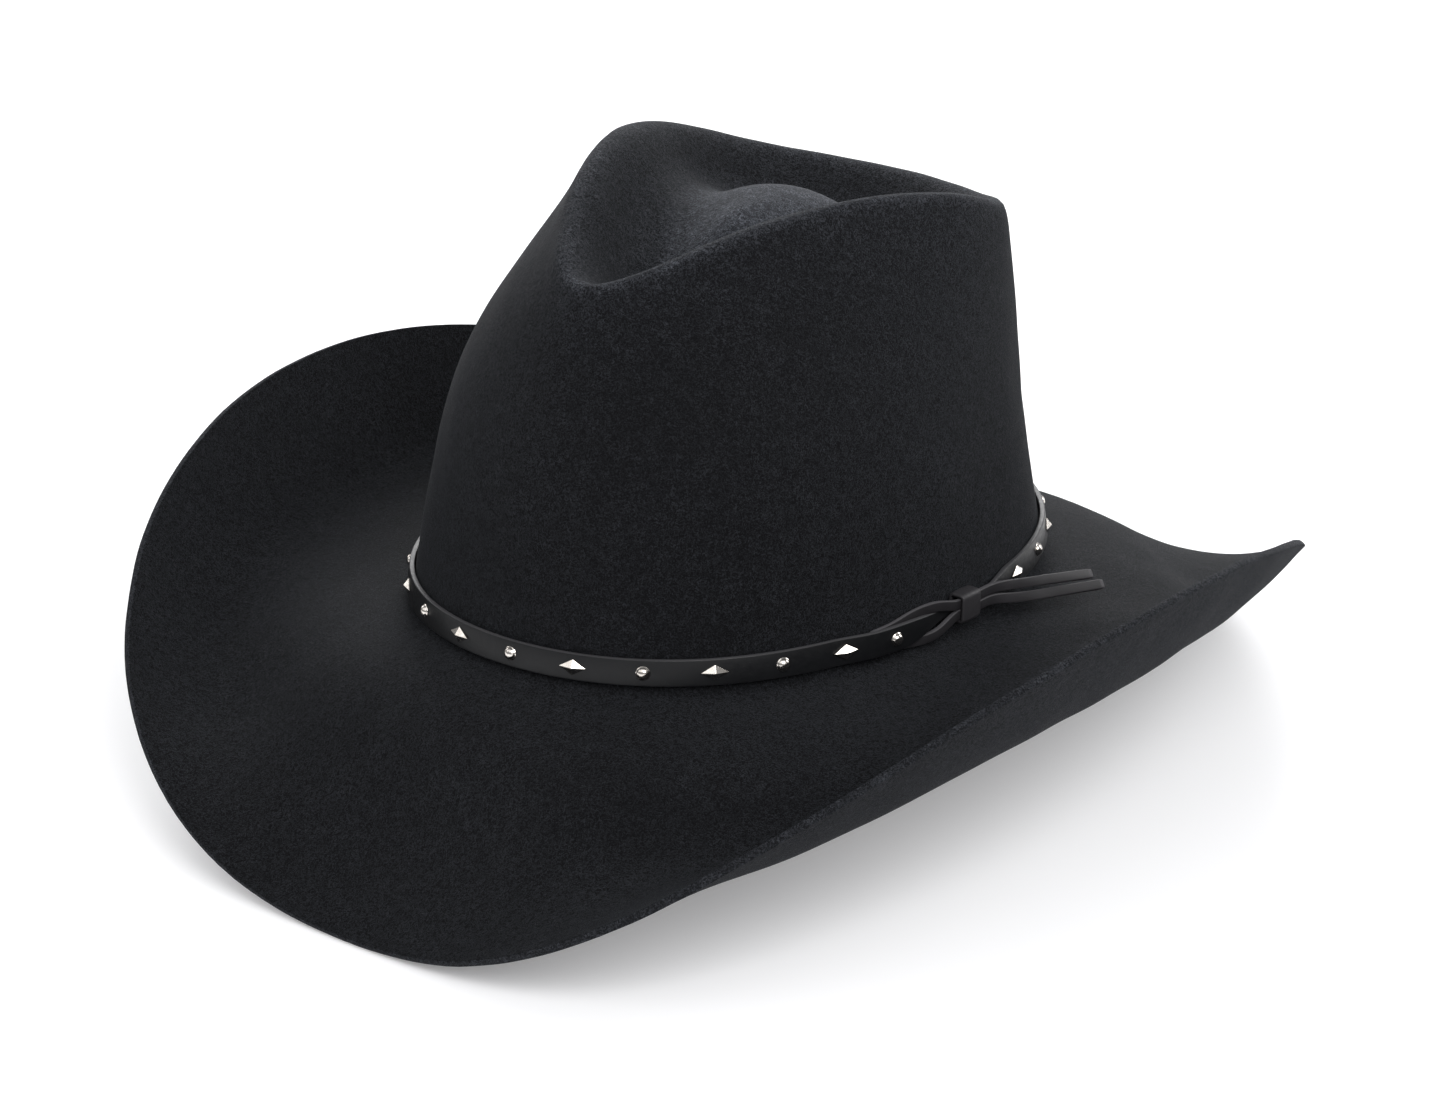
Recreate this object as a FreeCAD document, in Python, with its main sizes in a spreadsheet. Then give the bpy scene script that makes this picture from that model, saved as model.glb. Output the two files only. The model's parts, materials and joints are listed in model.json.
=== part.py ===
import FreeCAD, Part
import os
import Sketcher
from math import acos, atan2, cos, pi, radians, sin
from FreeCAD import Placement, Rotation, Vector

# Western felt hat, lying at rest on the two dips of its brim.
# Everything is laid out in the hat's own axes first: front = -Y, the wearer's left = +X,
# up = +Z, origin at the middle of the band. Angles run from the front (0) over the wearer's
# left (90) to the back (180). One common placement then tips the hat onto its brim.

doc = FreeCAD.newDocument("WesternHat")
sheet = doc.addObject("Spreadsheet::Sheet", "Sizes")

SIZES = [
    # alias, value, what it is (mm and degrees)
    ("head_half_width", 82.3, "felt outside at the band, half across"),
    ("head_half_length", 106.0, "felt outside at the band, half front to back"),
    ("head_squareness", 0.012, "how much the head oval is squared"),
    ("felt_thickness", 2.4, "felt all over"),
    ("break_drop", 7.5, "brim break below the middle of the band"),
    ("rest_tilt", 2.95, "front of the hat raised when it stands on its brim"),
    # crest of the crown, a teardrop seen from above
    ("crest_half_width", 50.6, ""),
    ("crest_pinch", 0.436, "narrows the front, widens the back"),
    ("crest_middle", 7.6, "behind the middle of the head"),
    ("crest_half_length", 77.1, ""),
    ("crest_bluntness", 1.5, "pulls front and back together"),
    ("crest_height", 107.2, "mean height over the band"),
    ("crest_front_rise", 2.8, "front over back"),
    ("crest_side_rise", 9.7, "sides over front and back"),
    ("crest_shoulder_rise", -1.7, "third wave round the crest"),
    ("crest_ripple", 0.8, "fourth wave round the crest"),
    ("crest_radius", 4.6, "shoulder outside the crest"),
    ("shoulder_drop", 10.1, "shoulder under the crest"),
    # crease in the top of the crown and the island that it surrounds
    ("crease_depth", 20.0, "at the front"),
    ("crease_back_rise", 6.0, "shallower at the back"),
    ("island_middle", 14.0, "behind the middle of the head"),
    ("island_height", 105.5, "top of the island over the band"),
    # brim
    ("brim_half_width", 144.0, "edge, half across"),
    ("brim_front_narrowing", 3.7, ""),
    ("brim_corner_fill", 14.1, ""),
    ("brim_half_length", 199.8, "edge, half front to back"),
    ("brim_end_flattening", 22.3, ""),
    ("brim_lengthening", 3.1, ""),
    ("brim_middle", 2.3, "behind the middle of the head"),
    ("brim_height", -23.4, "mean height of the edge"),
    ("brim_front_dip", 7.1, ""),
    ("brim_side_curl", 42.1, "sides up, ends down"),
    ("brim_shoulder_wave", 2.1, ""),
    ("brim_ripple", 7.3, ""),
    # band, studs and tie
    ("strap_height", 7.7, ""),
    ("strap_middle", 0.1, "over the middle of the band, at the sides"),
    ("strap_front_drop", 1.3, "the strap sits lower at the front and higher at the back"),
    ("strap_right_drop", 0.5, "lower again on the side away from the tie"),
    ("strap_thickness", 1.6, ""),
    ("tongue_thickness", 1.2, "strap ends, skived where they meet in the keeper"),
    ("strap_gap", 0.35, "out from the felt's oval, at the front"),
    ("strap_back_tuck", 0.5, "closer at the back, where the crown slopes more"),
    ("strap_lean", 0.1, "inward slope of the strap along the crown"),
    ("strap_back_lean", 0.06, "more of it at the back"),
    ("strap_lift", 1.9, "gap where the laces pass behind the strap"),
    ("first_stud_arc", -75.6, "first stud from the front, along the strap"),
    ("stud_count", 30, "stud pitches in the whole oval"),
    ("last_stud_shift", 0.13, "pitches; the stud beside the tie sits closer to its neighbour"),
    ("round_stud_radius", 1.95, ""),
    ("round_stud_rise", 1.5, ""),
    ("diamond_length", 8.0, ""),
    ("diamond_height", 4.6, ""),
    ("diamond_rise", 1.7, ""),
    ("diamond_rim", 0.4, "upright edge under the four facets"),
    ("shank_radius", 0.55, "stud shank, pressed through the strap"),
    ("lace_width", 2.9, ""),
    ("lace_thickness", 1.5, ""),
    ("keeper_length", 8.5, "along the laces"),
    ("keeper_wall", 1.0, ""),
    ("keeper_room_out", 3.6, "inside, away from the felt"),
    ("keeper_room_up", 6.8, "inside, up the crown"),
    ("keeper_round", 0.8, "outer corner radius"),
    # inside of the hat
    ("sweatband_top", 38.0, "over the middle of the band"),
    ("sweatband_bottom", -7.2, ""),
    ("sweatband_thickness", 1.1, ""),
    ("sweatband_inset", 1.05, "behind the felt, room for the lining's hem"),
    ("reed_radius", 1.25, ""),
    ("lining_thickness", 0.4, ""),
    ("lining_inset", 0.3, ""),
    ("lining_bottom", 30.0, "hem, tucked behind the sweatband"),
    ("lining_top", 72.0, ""),
    ("lining_dome", 2.5, "rise of the tip's middle"),
    ("welt_radius", 0.8, ""),
    ("bow_half_width", 9.5, ""),
    ("bow_half_height", 3.6, ""),
    ("bow_thickness", 1.4, ""),
    ("bow_knot_half", 1.9, ""),
]

for row, (alias, value, meaning) in enumerate(SIZES, start=1):
    sheet.set("A%d" % row, alias)
    sheet.set("B%d" % row, str(value))
    sheet.set("C%d" % row, meaning or alias.replace("_", " "))
    sheet.setAlias("B%d" % row, alias)
doc.recompute()


def size(alias):
    return float(sheet.get(alias))


COLUMNS = 40          # poles round the hat
UP = Vector(0, 0, 1)


# ---------------------------------------------------------------- curves of the hat

def head_oval(theta, outward=0.0, height=0.0):
    """Point beside the felt's outside at the band."""
    square = size("head_squareness")
    x = size("head_half_width") * (sin(theta) + square * sin(3 * theta))
    y = -size("head_half_length") * (cos(theta) - square * cos(3 * theta))
    return Vector(x, y, height) + head_normal(theta) * outward


def head_normal(theta):
    normal = Vector(sin(theta) / size("head_half_width"), -cos(theta) / size("head_half_length"), 0)
    return normal.normalize()


def crest(theta):
    """Highest line of the crown's rim."""
    x = size("crest_half_width") * sin(theta) * (1 - size("crest_pinch") * cos(theta))
    y = size("crest_middle") - size("crest_half_length") * cos(theta)
    y -= size("crest_bluntness") * cos(2 * theta)
    z = size("crest_height") + size("crest_front_rise") * cos(theta)
    z -= size("crest_side_rise") * cos(2 * theta)
    z += size("crest_shoulder_rise") * cos(3 * theta) + size("crest_ripple") * cos(4 * theta)
    return Vector(x, y, z)


def crest_normal(theta):
    """Level outward direction across the crest."""
    step = 0.001
    along = crest(theta + step) - crest(theta - step)
    return Vector(along.y, -along.x, 0).normalize()


def brim_edge(theta):
    x = size("brim_half_width") * sin(theta) + size("brim_front_narrowing") * sin(2 * theta)
    x -= size("brim_corner_fill") * sin(3 * theta)
    y = size("brim_middle") - size("brim_half_length") * cos(theta)
    y += size("brim_lengthening") * cos(2 * theta) + size("brim_end_flattening") * cos(3 * theta)
    z = size("brim_height") - size("brim_front_dip") * cos(theta)
    z -= size("brim_side_curl") * cos(2 * theta) + size("brim_shoulder_wave") * cos(3 * theta)
    z += size("brim_ripple") * cos(4 * theta)
    return Vector(x, y, z)


def wave(theta, mean, first=0.0, second=0.0, third=0.0, fourth=0.0):
    """A size that changes smoothly round the hat and is the same left and right."""
    return (mean + first * cos(theta) + second * cos(2 * theta) + third * cos(3 * theta)
            + fourth * cos(4 * theta))


def crown_profile(theta):
    """Control points of the crown's outside, from the brim break to the top's middle."""
    foot = head_oval(theta, 0, -size("break_drop"))
    top = crest(theta)
    shoulder = top + crest_normal(theta) * size("crest_radius") - UP * size("shoulder_drop")
    low_bulge = wave(theta, 3.8, 5.1, -1.2, -2.2)
    high_bulge = wave(theta, 8.1, 8.4, -0.9, -3.7)
    low_wall = foot + (shoulder - foot) * 0.33 + head_normal(theta) * low_bulge
    high_wall = foot + (shoulder - foot) * 0.70 + head_normal(theta) * high_bulge
    points = [foot, foot + UP * 5 + head_normal(theta) * 0.3, low_wall, high_wall, shoulder]
    points.append(top + crest_normal(theta) * 2.5 + UP)
    points.append(top - crest_normal(theta) * 6.0 - UP * 2.5)

    middle = Vector(0, size("island_middle"), 0)
    depth = size("crease_depth") - size("crease_back_rise") * (1 - cos(theta)) / 2
    crease = top.z - depth
    island = size("island_height")
    rings = [(0.74, top.z - 0.72 * depth), (0.60, crease), (0.42, 0.35 * crease + 0.65 * (island - 6.5))]
    rings += [(0.24, island - 1.5), (0.10, island), (0.0, island)]
    for reach, height in rings:
        spot = middle + (top - middle) * reach
        points.append(Vector(spot.x, spot.y, height))
    return points


def brim_profile(theta):
    """Control points of the brim's upper side, from the edge to just outside the break."""
    edge = brim_edge(theta)
    foot = head_oval(theta, 0, -size("break_drop"))
    span = (edge - foot).Length
    level = Vector(edge.x - foot.x, edge.y - foot.y, 0).normalize()
    leaving = (level + UP * wave(theta, -0.18, -0.07, -0.08)).normalize()
    arriving = (level + UP * wave(theta, 0.60, 0.03, -1.56, -0.16, 0.39)).normalize()
    inner_reach = span * wave(theta, 0.48, 0, -0.15)
    outer_reach = span * wave(theta, 0.35, 0, -0.04)
    return [edge, edge - arriving * outer_reach, foot + leaving * inner_reach, foot + leaving * 4]


def felt_profile(theta):
    return brim_profile(theta) + crown_profile(theta)


# ---------------------------------------------------------------- smooth skins and solids

def angle_of(column):
    return 2 * pi * column / COLUMNS


def net_of(profile):
    """Rows of points from the outside in, each row running round the hat."""
    columns = [profile(angle_of(column)) for column in range(COLUMNS)]
    return [list(row) for row in zip(*columns)]


def inner_net(net, thickness):
    """The same net moved inward, or down where the skin lies level."""
    moved = []
    last = len(net) - 1
    for r, row in enumerate(net):
        new_row = []
        for c, point in enumerate(row):
            around = row[(c + 1) % COLUMNS] - row[c - 1]
            across = net[min(r + 1, last)][c] - net[max(r - 1, 0)][c]
            normal = around.cross(across)
            if around.Length < 0.000001:
                normal = Vector(UP)
            new_row.append(point - normal.normalize() * thickness)
        moved.append(new_row)
    return moved


def through_points(row):
    """Poles of a closed cubic curve that passes through the row's points."""
    count = len(row)
    poles = []
    for c, point in enumerate(row):
        bend = row[(c + 1) % count] - point * 2 + row[c - 1]
        poles.append(point - bend * (1.0 / 6.0))
    return poles


def skin(rows, degree):
    """Surface closed round the hat, clamped from the first row to the last."""
    poles = [through_points(row) for row in rows]
    spans = len(poles) - degree
    surface = Part.BSplineSurface()
    across_mults = [degree + 1] + [1] * (spans - 1) + [degree + 1]
    surface.buildFromPolesMultsKnots(
        poles, across_mults, [1] * (COLUMNS + 1), list(range(spans + 1)),
        list(range(COLUMNS + 1)), False, True, degree, 3)
    return surface.toShape()


def solid_from(faces):
    shell = Part.Shell(faces)
    shell.sewShape()
    solid = Part.Solid(shell)
    if solid.Volume < 0:
        solid.reverse()
    return solid


def cap_solid(outer, thickness):
    """Solid between an outer net that closes at its last row and the same net moved in."""
    inner = inner_net(outer, thickness)
    faces = [skin(outer, 3), skin(inner, 3), skin([outer[0], inner[0]], 1)]
    return solid_from(faces)


def ring_solid(outer, inner):
    """Solid between two nets that are open at the top and the bottom."""
    faces = [skin(outer, 3), skin(inner, 3)]
    faces.append(skin([outer[0], inner[0]], 1))
    faces.append(skin([outer[-1], inner[-1]], 1))
    return solid_from(faces)


def wall_point(theta, height, inset):
    """Point at a height over the band, its distance from the felt's outside square to the wall."""
    profile = crown_profile(theta)[:7]
    curve = Part.BSplineCurve()
    curve.buildFromPolesMultsKnots(profile, [4, 1, 1, 1, 4], [0, 1, 2, 3, 4], False, 3)
    low, high = 0.0, 3.2
    for _ in range(30):
        middle = (low + high) / 2
        if curve.value(middle).z < height:
            low = middle
        else:
            high = middle
    rise = curve.tangent(low)[0].normalize()
    return curve.value(low) - head_normal(theta) * (inset / rise.z)


def wall_rows(heights, inset):
    return net_of(lambda theta: [wall_point(theta, height, inset) for height in heights])


def even_steps(start, end, count):
    return [start + (end - start) * i / (count - 1) for i in range(count)]


# ---------------------------------------------------------------- sub-parts inside the hat

made = []


def feature(name, shape):
    """A sub-part whose shape comes from the hat's formulas."""
    item = doc.addObject("Part::Feature", name)
    item.Shape = shape
    item.Label = name
    made.append(item)
    return item


def felt_body():
    """Crown and brim, blocked from one piece of felt with a raw cut edge."""
    return feature("felt_body", cap_solid(net_of(felt_profile), size("felt_thickness")))


def sweatband():
    """Leather band between the head and the felt."""
    heights = even_steps(size("sweatband_bottom"), size("sweatband_top"), 6)
    back = size("felt_thickness") + size("sweatband_inset")
    outer = wall_rows(heights, back)
    inner = wall_rows(heights, back + size("sweatband_thickness"))
    return feature("sweatband", ring_solid(outer, inner))


def lining_side():
    """Satin wall of the lining, its hem tucked behind the sweatband."""
    heights = even_steps(size("lining_bottom"), size("lining_top"), 6)
    back = size("felt_thickness") + size("lining_inset")
    outer = wall_rows(heights, back)
    inner = wall_rows(heights, back + size("lining_thickness"))
    return feature("lining_side", ring_solid(outer, inner))


def lining_tip():
    """Satin top of the lining, gently domed under the crease."""
    rim_height = size("lining_top") + size("welt_radius")
    back = size("felt_thickness") + size("lining_inset") + 2 * size("welt_radius")

    def profile(theta):
        rim = wall_point(theta, rim_height, back)
        points = []
        for reach in (1.0, 0.85, 0.6, 0.35, 0.12, 0.0):
            rise = size("lining_dome") * (1 - reach * reach)
            points.append(Vector(rim.x * reach, rim.y * reach, rim.z + rise))
        return points

    return feature("lining_tip", cap_solid(net_of(profile), size("lining_thickness")))


def origin_plane(body, role):
    for plane in body.Origin.OriginFeatures:
        if plane.Role == role:
            return plane
    raise ValueError(role)


def new_body(name):
    body = doc.addObject("PartDesign::Body", name)
    body.Label = name
    made.append(body)
    return body


def new_sketch(body, name, role):
    drawing = body.newObject("Sketcher::SketchObject", name)
    drawing.AttachmentSupport = [(origin_plane(body, role), "")]
    drawing.MapMode = "FlatFace"
    return drawing


def piped_ring(name, height, inset, radius_alias):
    """Round cord that follows the inside of the crown's wall at one height."""
    body = new_body(name)
    route = new_sketch(body, name + "_route", "XY_Plane")
    points = [wall_point(angle_of(column), height, inset) for column in range(COLUMNS)]
    loop = Part.BSplineCurve()
    loop.interpolate(Points=[Vector(p.x, p.y, 0) for p in points], PeriodicFlag=True)
    route.addGeometry(loop, False)
    section = new_sketch(body, name + "_section", "YZ_Plane")
    section.addGeometry(Part.Circle(Vector(points[0].y, 0, 0), UP, size(radius_alias)), False)
    ring = section.addConstraint(Sketcher.Constraint("Radius", 0, size(radius_alias)))
    section.setExpression("Constraints[%d]" % ring, "Sizes." + radius_alias)
    pipe = body.newObject("PartDesign::AdditivePipe", name + "_pipe")
    pipe.Profile = section
    pipe.Spine = route
    body.Tip = pipe
    body.Placement = Placement(Vector(0, 0, height), Rotation())
    return body


def sweatband_reed():
    """Reed that stiffens the sweatband's lower edge."""
    inset = size("felt_thickness") + size("sweatband_inset") + size("sweatband_thickness") / 2
    height = size("sweatband_bottom") - size("reed_radius")
    return piped_ring("sweatband_reed", height, inset, "reed_radius")


def lining_welt():
    """Piping in the seam between the lining's tip and side."""
    inset = size("felt_thickness") + size("lining_inset") + size("welt_radius")
    height = size("lining_top") + size("welt_radius")
    return piped_ring("lining_welt", height, inset, "welt_radius")


def add_pad(body, drawing, name, alias):
    pad = body.newObject("PartDesign::Pad", name)
    pad.Profile = drawing
    pad.setExpression("Length", "Sizes." + alias)
    return pad


def closed_outline(drawing, points):
    count = len(points)
    for i in range(count):
        start = Vector(points[i][0], points[i][1], 0)
        end = Vector(points[(i + 1) % count][0], points[(i + 1) % count][1], 0)
        drawing.addGeometry(Part.LineSegment(start, end), False)
    for i in range(count):
        drawing.addConstraint(Sketcher.Constraint("Coincident", i, 2, (i + 1) % count, 1))


def sweatband_bow():
    """Small ribbon bow sewn inside the sweatband at the back seam."""
    body = new_body("sweatband_bow")
    outline = new_sketch(body, "bow_outline", "XZ_Plane")
    wide = size("bow_half_width")
    tall = size("bow_half_height")
    waist = size("bow_knot_half") * 0.7
    right = [(0, waist), (wide * 0.55, tall), (wide * 0.93, tall * 0.9), (wide, 0)]
    right += [(wide * 0.93, -tall * 0.9), (wide * 0.55, -tall), (0, -waist)]
    left = [(-x, y) for x, y in right[-2:0:-1]]
    closed_outline(outline, right + left)
    add_pad(body, outline, "bow_loops", "bow_thickness")
    knot = new_sketch(body, "bow_knot_outline", "XZ_Plane")
    half = size("bow_knot_half")
    closed_outline(knot, [(-half, -half), (half, -half), (half, half), (-half, half)])
    wrap = add_pad(body, knot, "bow_knot", "bow_thickness")
    wrap.setExpression("Length", "Sizes.bow_thickness * 1.5")
    body.Tip = wrap
    behind = size("felt_thickness") + size("sweatband_inset") + size("sweatband_thickness")
    back = wall_point(pi, 8, behind).y
    body.Placement = Placement(Vector(0, back - 1.2, 8), Rotation())
    return body


# ---------------------------------------------------------------- band round the crown

class StrapLine:
    """Length along the strap's middle line, counted in stud pitches."""

    def __init__(self):
        self.offset = size("strap_gap") + size("strap_thickness") / 2
        self.samples = 3600
        self.lengths = [0.0]
        last = head_oval(0, self.offset)
        for i in range(1, self.samples + 1):
            spot = head_oval(2 * pi * i / self.samples, self.offset)
            self.lengths.append(self.lengths[-1] + (spot - last).Length)
            last = spot
        self.pitch = self.lengths[-1] / size("stud_count")

    def angle(self, step):
        arc = (size("first_stud_arc") + step * self.pitch) % self.lengths[-1]
        low = 0
        high = self.samples
        while high - low > 1:
            middle = (low + high) // 2
            if self.lengths[middle] > arc:
                high = middle
            else:
                low = middle
        part = (arc - self.lengths[low]) / (self.lengths[high] - self.lengths[low])
        return 2 * pi * (low + part) / self.samples


strap_line = StrapLine()


def section_wire(centre, width_axis, width, out_axis, thickness):
    across = width_axis * (width / 2)
    out = out_axis * (thickness / 2)
    corners = [centre - across - out, centre + across - out, centre + across + out, centre - across + out]
    return Part.makePolygon(corners + corners[:1])


def smooth_mix(table, position):
    """Values between the two table rows on either side, eased at both rows."""
    for first, second in zip(table, table[1:]):
        if position <= second[0]:
            part = (position - first[0]) / (second[0] - first[0])
            part = part * part * (3 - 2 * part)
            return [a + (b - a) * part for a, b in zip(first[1:], second[1:])]
    return list(table[-1][1:])


def strap_section(step):
    """Width, thickness, height of the middle, gap to the felt and lean at a place on the strap."""
    full = size("strap_height")
    thick = size("strap_thickness")
    tongue = size("lace_width")
    thin = size("tongue_thickness")
    side = size("strap_middle")
    keeper_height = 2.1
    close = size("strap_gap")
    lifted = size("strap_lift")
    stations = [
        # stud pitches, width, thickness, height of the middle at the sides, gap, share of the lean
        (11.24, tongue, thin, keeper_height, lifted, 0),
        (11.74, tongue, thin, keeper_height, lifted + 0.4, 0),
        (12.85, full, thick, side, close, 1),
        (13.00, full, thick, side, close, 1),
        (38.80, full, thick, side, close, 1),
        (39.60, full, thick, side, lifted, 0),
        (40.05, full, thick, side, lifted, 0),
        (40.95, tongue, thin, keeper_height, lifted, 0),
        (41.18, tongue, thin, keeper_height, lifted, 0),
    ]
    width, thickness, height, gap, share = smooth_mix(stations, step)
    theta = strap_line.angle(step)
    back = (1 - cos(theta)) / 2
    height -= size("strap_front_drop") * cos(theta) + size("strap_right_drop") * (1 - sin(theta))
    gap -= size("strap_back_tuck") * back * share
    lean = (size("strap_lean") + size("strap_back_lean") * back) * share
    return width, thickness, height, gap, lean


def hat_band():
    """Leather strap with a narrow skived tongue at each end, both under the keeper."""
    steps = even_steps(11.24, 13.0, 10) + even_steps(13.0, 38.8, 87)[1:] + even_steps(38.8, 41.18, 16)[1:]
    wires = []
    for step in steps:
        width, thickness, height, gap, lean = strap_section(step)
        theta = strap_line.angle(step)
        normal = head_normal(theta)
        centre = head_oval(theta, gap + thickness / 2, height)
        wires.append(section_wire(centre, UP - normal * lean, width, normal + UP * lean, thickness))
    return feature("hat_band", Part.makeLoft(wires, True, True))


def lace(name, stations):
    """Flat leather lace; each station is x, y, z, the roll of its flat face and its thickness."""
    points = [Vector(*station[:3]) for station in stations]
    route = Part.BSplineCurve()
    route.interpolate(points)
    knots = [route.parameter(point) for point in points]
    rolls = [(knot, station[3], station[4]) for knot, station in zip(knots, stations)]
    wires = []
    for knot in even_steps(knots[0], knots[-1], 30):
        spot = route.value(knot)
        along = route.tangent(knot)[0]
        roll, thickness = smooth_mix(rolls, knot)
        out_wish = Vector(cos(radians(roll)), 0, sin(radians(roll)))
        width_axis = out_wish.cross(along).normalize()
        out_axis = along.cross(width_axis).normalize()
        wires.append(section_wire(spot, width_axis, size("lace_width"), out_axis, thickness))
    return feature(name, Part.makeLoft(wires, True, False))


LACE_OUT = 4.1        # laces' middle over the felt, inside the keeper


def felt_side():
    return size("head_half_width") * (1 - size("head_squareness"))


def beside_band(along, outward, height):
    """Coordinates beside the band on the wearer's left, this far behind the hat's middle."""
    spot = head_oval(acos(-along / size("head_half_length")), outward, height)
    return spot.x, spot.y, spot.z


def tie_lace_upper():
    out = felt_side() + LACE_OUT
    full = size("lace_thickness")
    thin = size("tongue_thickness")
    behind_strap = size("strap_lift") - 0.3 - thin / 2
    return lace("tie_lace_upper", [
        (*beside_band(-34.5, behind_strap, 1.7), 0, thin),
        (*beside_band(-26.5, behind_strap, 2.6), 0, thin),
        (81.3, -19.0, 4.3, 0, thin),
        (84.2, -11.0, 5.1, 0, full),
        (out, -4.5, 3.8, 0, full),
        (out, 1.0, 3.8, 0, full),
        (out, 6.5, 3.8, 0, full),
        (out, 12.0, 3.8, 0, full),
        (86.6, 22.0, 2.6, 15, full),
        (90.2, 35.9, 1.0, 30, full),
        (94.2, 51.5, -0.9, 40, full),
    ])


def tie_lace_lower():
    out = felt_side() + LACE_OUT
    full = size("lace_thickness")
    thin = size("tongue_thickness")
    behind_strap = size("strap_lift") - 0.3 - thin / 2
    return lace("tie_lace_lower", [
        (*beside_band(-34.5, behind_strap, -1.6), 0, thin),
        (*beside_band(-26.5, behind_strap, -2.9), 0, thin),
        (81.5, -19.0, -4.2, 0, thin),
        (84.3, -11.5, -2.8, 0, full),
        (out, -4.5, 0.4, 0, full),
        (out, 1.0, 0.4, 0, full),
        (out, 6.5, 0.4, 0, full),
        (out, 12.0, 0.4, 0, full),
        (87.5, 20.5, -0.9, 15, full),
        (92.8, 32.8, -1.6, 30, full),
        (99.2, 50.3, -2.5, 40, full),
    ])


def keeper_box(drawing, grow):
    """Rectangle about the origin, the keeper's room grown on every side."""
    half_out = size("keeper_room_out") / 2 + grow
    half_up = size("keeper_room_up") / 2 + grow
    closed_outline(drawing, [(-half_out, -half_up), (half_out, -half_up),
                             (half_out, half_up), (-half_out, half_up)])


def keeper():
    """Short leather loop that holds both laces and both tongues."""
    body = new_body("keeper")
    outer = new_sketch(body, "keeper_outside", "XY_Plane")
    keeper_box(outer, size("keeper_wall"))
    block = add_pad(body, outer, "keeper_block", "keeper_length")
    block.Midplane = True
    doc.recompute()
    long_edges = []
    for index, edge in enumerate(block.Shape.Edges, start=1):
        if abs(edge.Length - size("keeper_length")) < 0.001:
            long_edges.append("Edge%d" % index)
    rounding = body.newObject("PartDesign::Fillet", "keeper_corners")
    rounding.Base = (block, long_edges)
    rounding.setExpression("Radius", "Sizes.keeper_round")
    inner = new_sketch(body, "keeper_inside", "XY_Plane")
    keeper_box(inner, 0.0)
    room = body.newObject("PartDesign::Pocket", "keeper_room")
    room.Profile = inner
    room.Type = "ThroughAll"
    room.Midplane = True
    body.Tip = room
    centre_out = felt_side() + 0.5 + size("keeper_wall") + size("keeper_room_out") / 2
    body.Placement = Placement(Vector(centre_out, 1.0, 2.1), Rotation(Vector(1, 0, 0), 90))
    return body


# ---------------------------------------------------------------- studs

def on_strap(step):
    """Placement on the strap's face: X along the strap, Y up, Z outward."""
    lap = size("stud_count")
    thickness, height, gap, lean = strap_section(step if step > 12 else step + lap)[1:]
    theta = strap_line.angle(step)
    normal = head_normal(theta)
    outward = (normal + UP * lean).normalize()
    spot = head_oval(theta, gap + thickness / 2, height) + outward * (thickness / 2)
    return Placement(spot, Rotation(UP.cross(normal), UP, outward, "ZXY"))


def shank(body, name):
    """Pin under a stud's head, as long as the strap is thick."""
    circle = new_sketch(body, name + "_shank_circle", "XY_Plane")
    circle.addGeometry(Part.Circle(Vector(), UP, size("shank_radius")), False)
    ring = circle.addConstraint(Sketcher.Constraint("Radius", 0, size("shank_radius")))
    circle.setExpression("Constraints[%d]" % ring, "Sizes.shank_radius")
    pin = add_pad(body, circle, name + "_shank", "strap_thickness")
    pin.Reversed = True
    return pin


def round_stud(name, step):
    """Small domed stud on a shank."""
    body = new_body(name)
    half = new_sketch(body, name + "_dome_half", "XZ_Plane")
    radius = size("round_stud_radius")
    rise = size("round_stud_rise")
    ball = (radius * radius + rise * rise) / (2 * rise)
    middle = Vector(0, rise - ball, 0)
    start = atan2(ball - rise, radius)
    half.addGeometry(Part.ArcOfCircle(Part.Circle(middle, UP, ball), start, pi / 2), False)
    half.addGeometry(Part.LineSegment(Vector(0, rise, 0), Vector(0, 0, 0)), False)
    half.addGeometry(Part.LineSegment(Vector(0, 0, 0), Vector(radius, 0, 0)), False)
    dome = body.newObject("PartDesign::Revolution", name + "_dome")
    dome.Profile = half
    dome.ReferenceAxis = (half, ["V_Axis"])
    dome.Angle = 360
    body.Tip = shank(body, name)
    body.Placement = on_strap(step)
    return body


def rhombus(drawing, scale):
    half_long = size("diamond_length") / 2 * scale
    half_tall = size("diamond_height") / 2 * scale
    closed_outline(drawing, [(half_long, 0), (0, half_tall), (-half_long, 0), (0, -half_tall)])


def diamond_stud(name, step):
    """Four-sided pyramid stud, its long diagonal along the strap."""
    body = new_body(name)
    base = new_sketch(body, name + "_base", "XY_Plane")
    rhombus(base, 1.0)
    add_pad(body, base, name + "_rim", "diamond_rim")
    low = new_sketch(body, name + "_low", "XY_Plane")
    rhombus(low, 1.0)
    low.setExpression("AttachmentOffset.Base.z", "Sizes.diamond_rim")
    high = new_sketch(body, name + "_high", "XY_Plane")
    rhombus(high, 0.06)
    high.setExpression("AttachmentOffset.Base.z", "Sizes.diamond_rise")
    facets = body.newObject("PartDesign::AdditiveLoft", name + "_facets")
    facets.Profile = low
    facets.Sections = [high]
    facets.Ruled = True
    body.Tip = shank(body, name)
    body.Placement = on_strap(step)
    return body


def studs():
    """Round and diamond studs by turns, none where the tie covers the strap."""
    round_number = 0
    diamond_number = 0
    for step in range(int(size("stud_count"))):
        if step in (11, 12):
            continue
        place = step - size("last_stud_shift") if step == 10 else step
        if step % 2 == 0:
            round_number += 1
            round_stud("round_stud_%02d" % round_number, place)
        else:
            diamond_number += 1
            diamond_stud("diamond_stud_%02d" % diamond_number, place)


# ---------------------------------------------------------------- assembly

felt = felt_body()
sweatband()
sweatband_reed()
sweatband_bow()
lining_side()
lining_tip()
lining_welt()
hat_band()
tie_lace_upper()
tie_lace_lower()
keeper()
studs()
doc.recompute()


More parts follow.
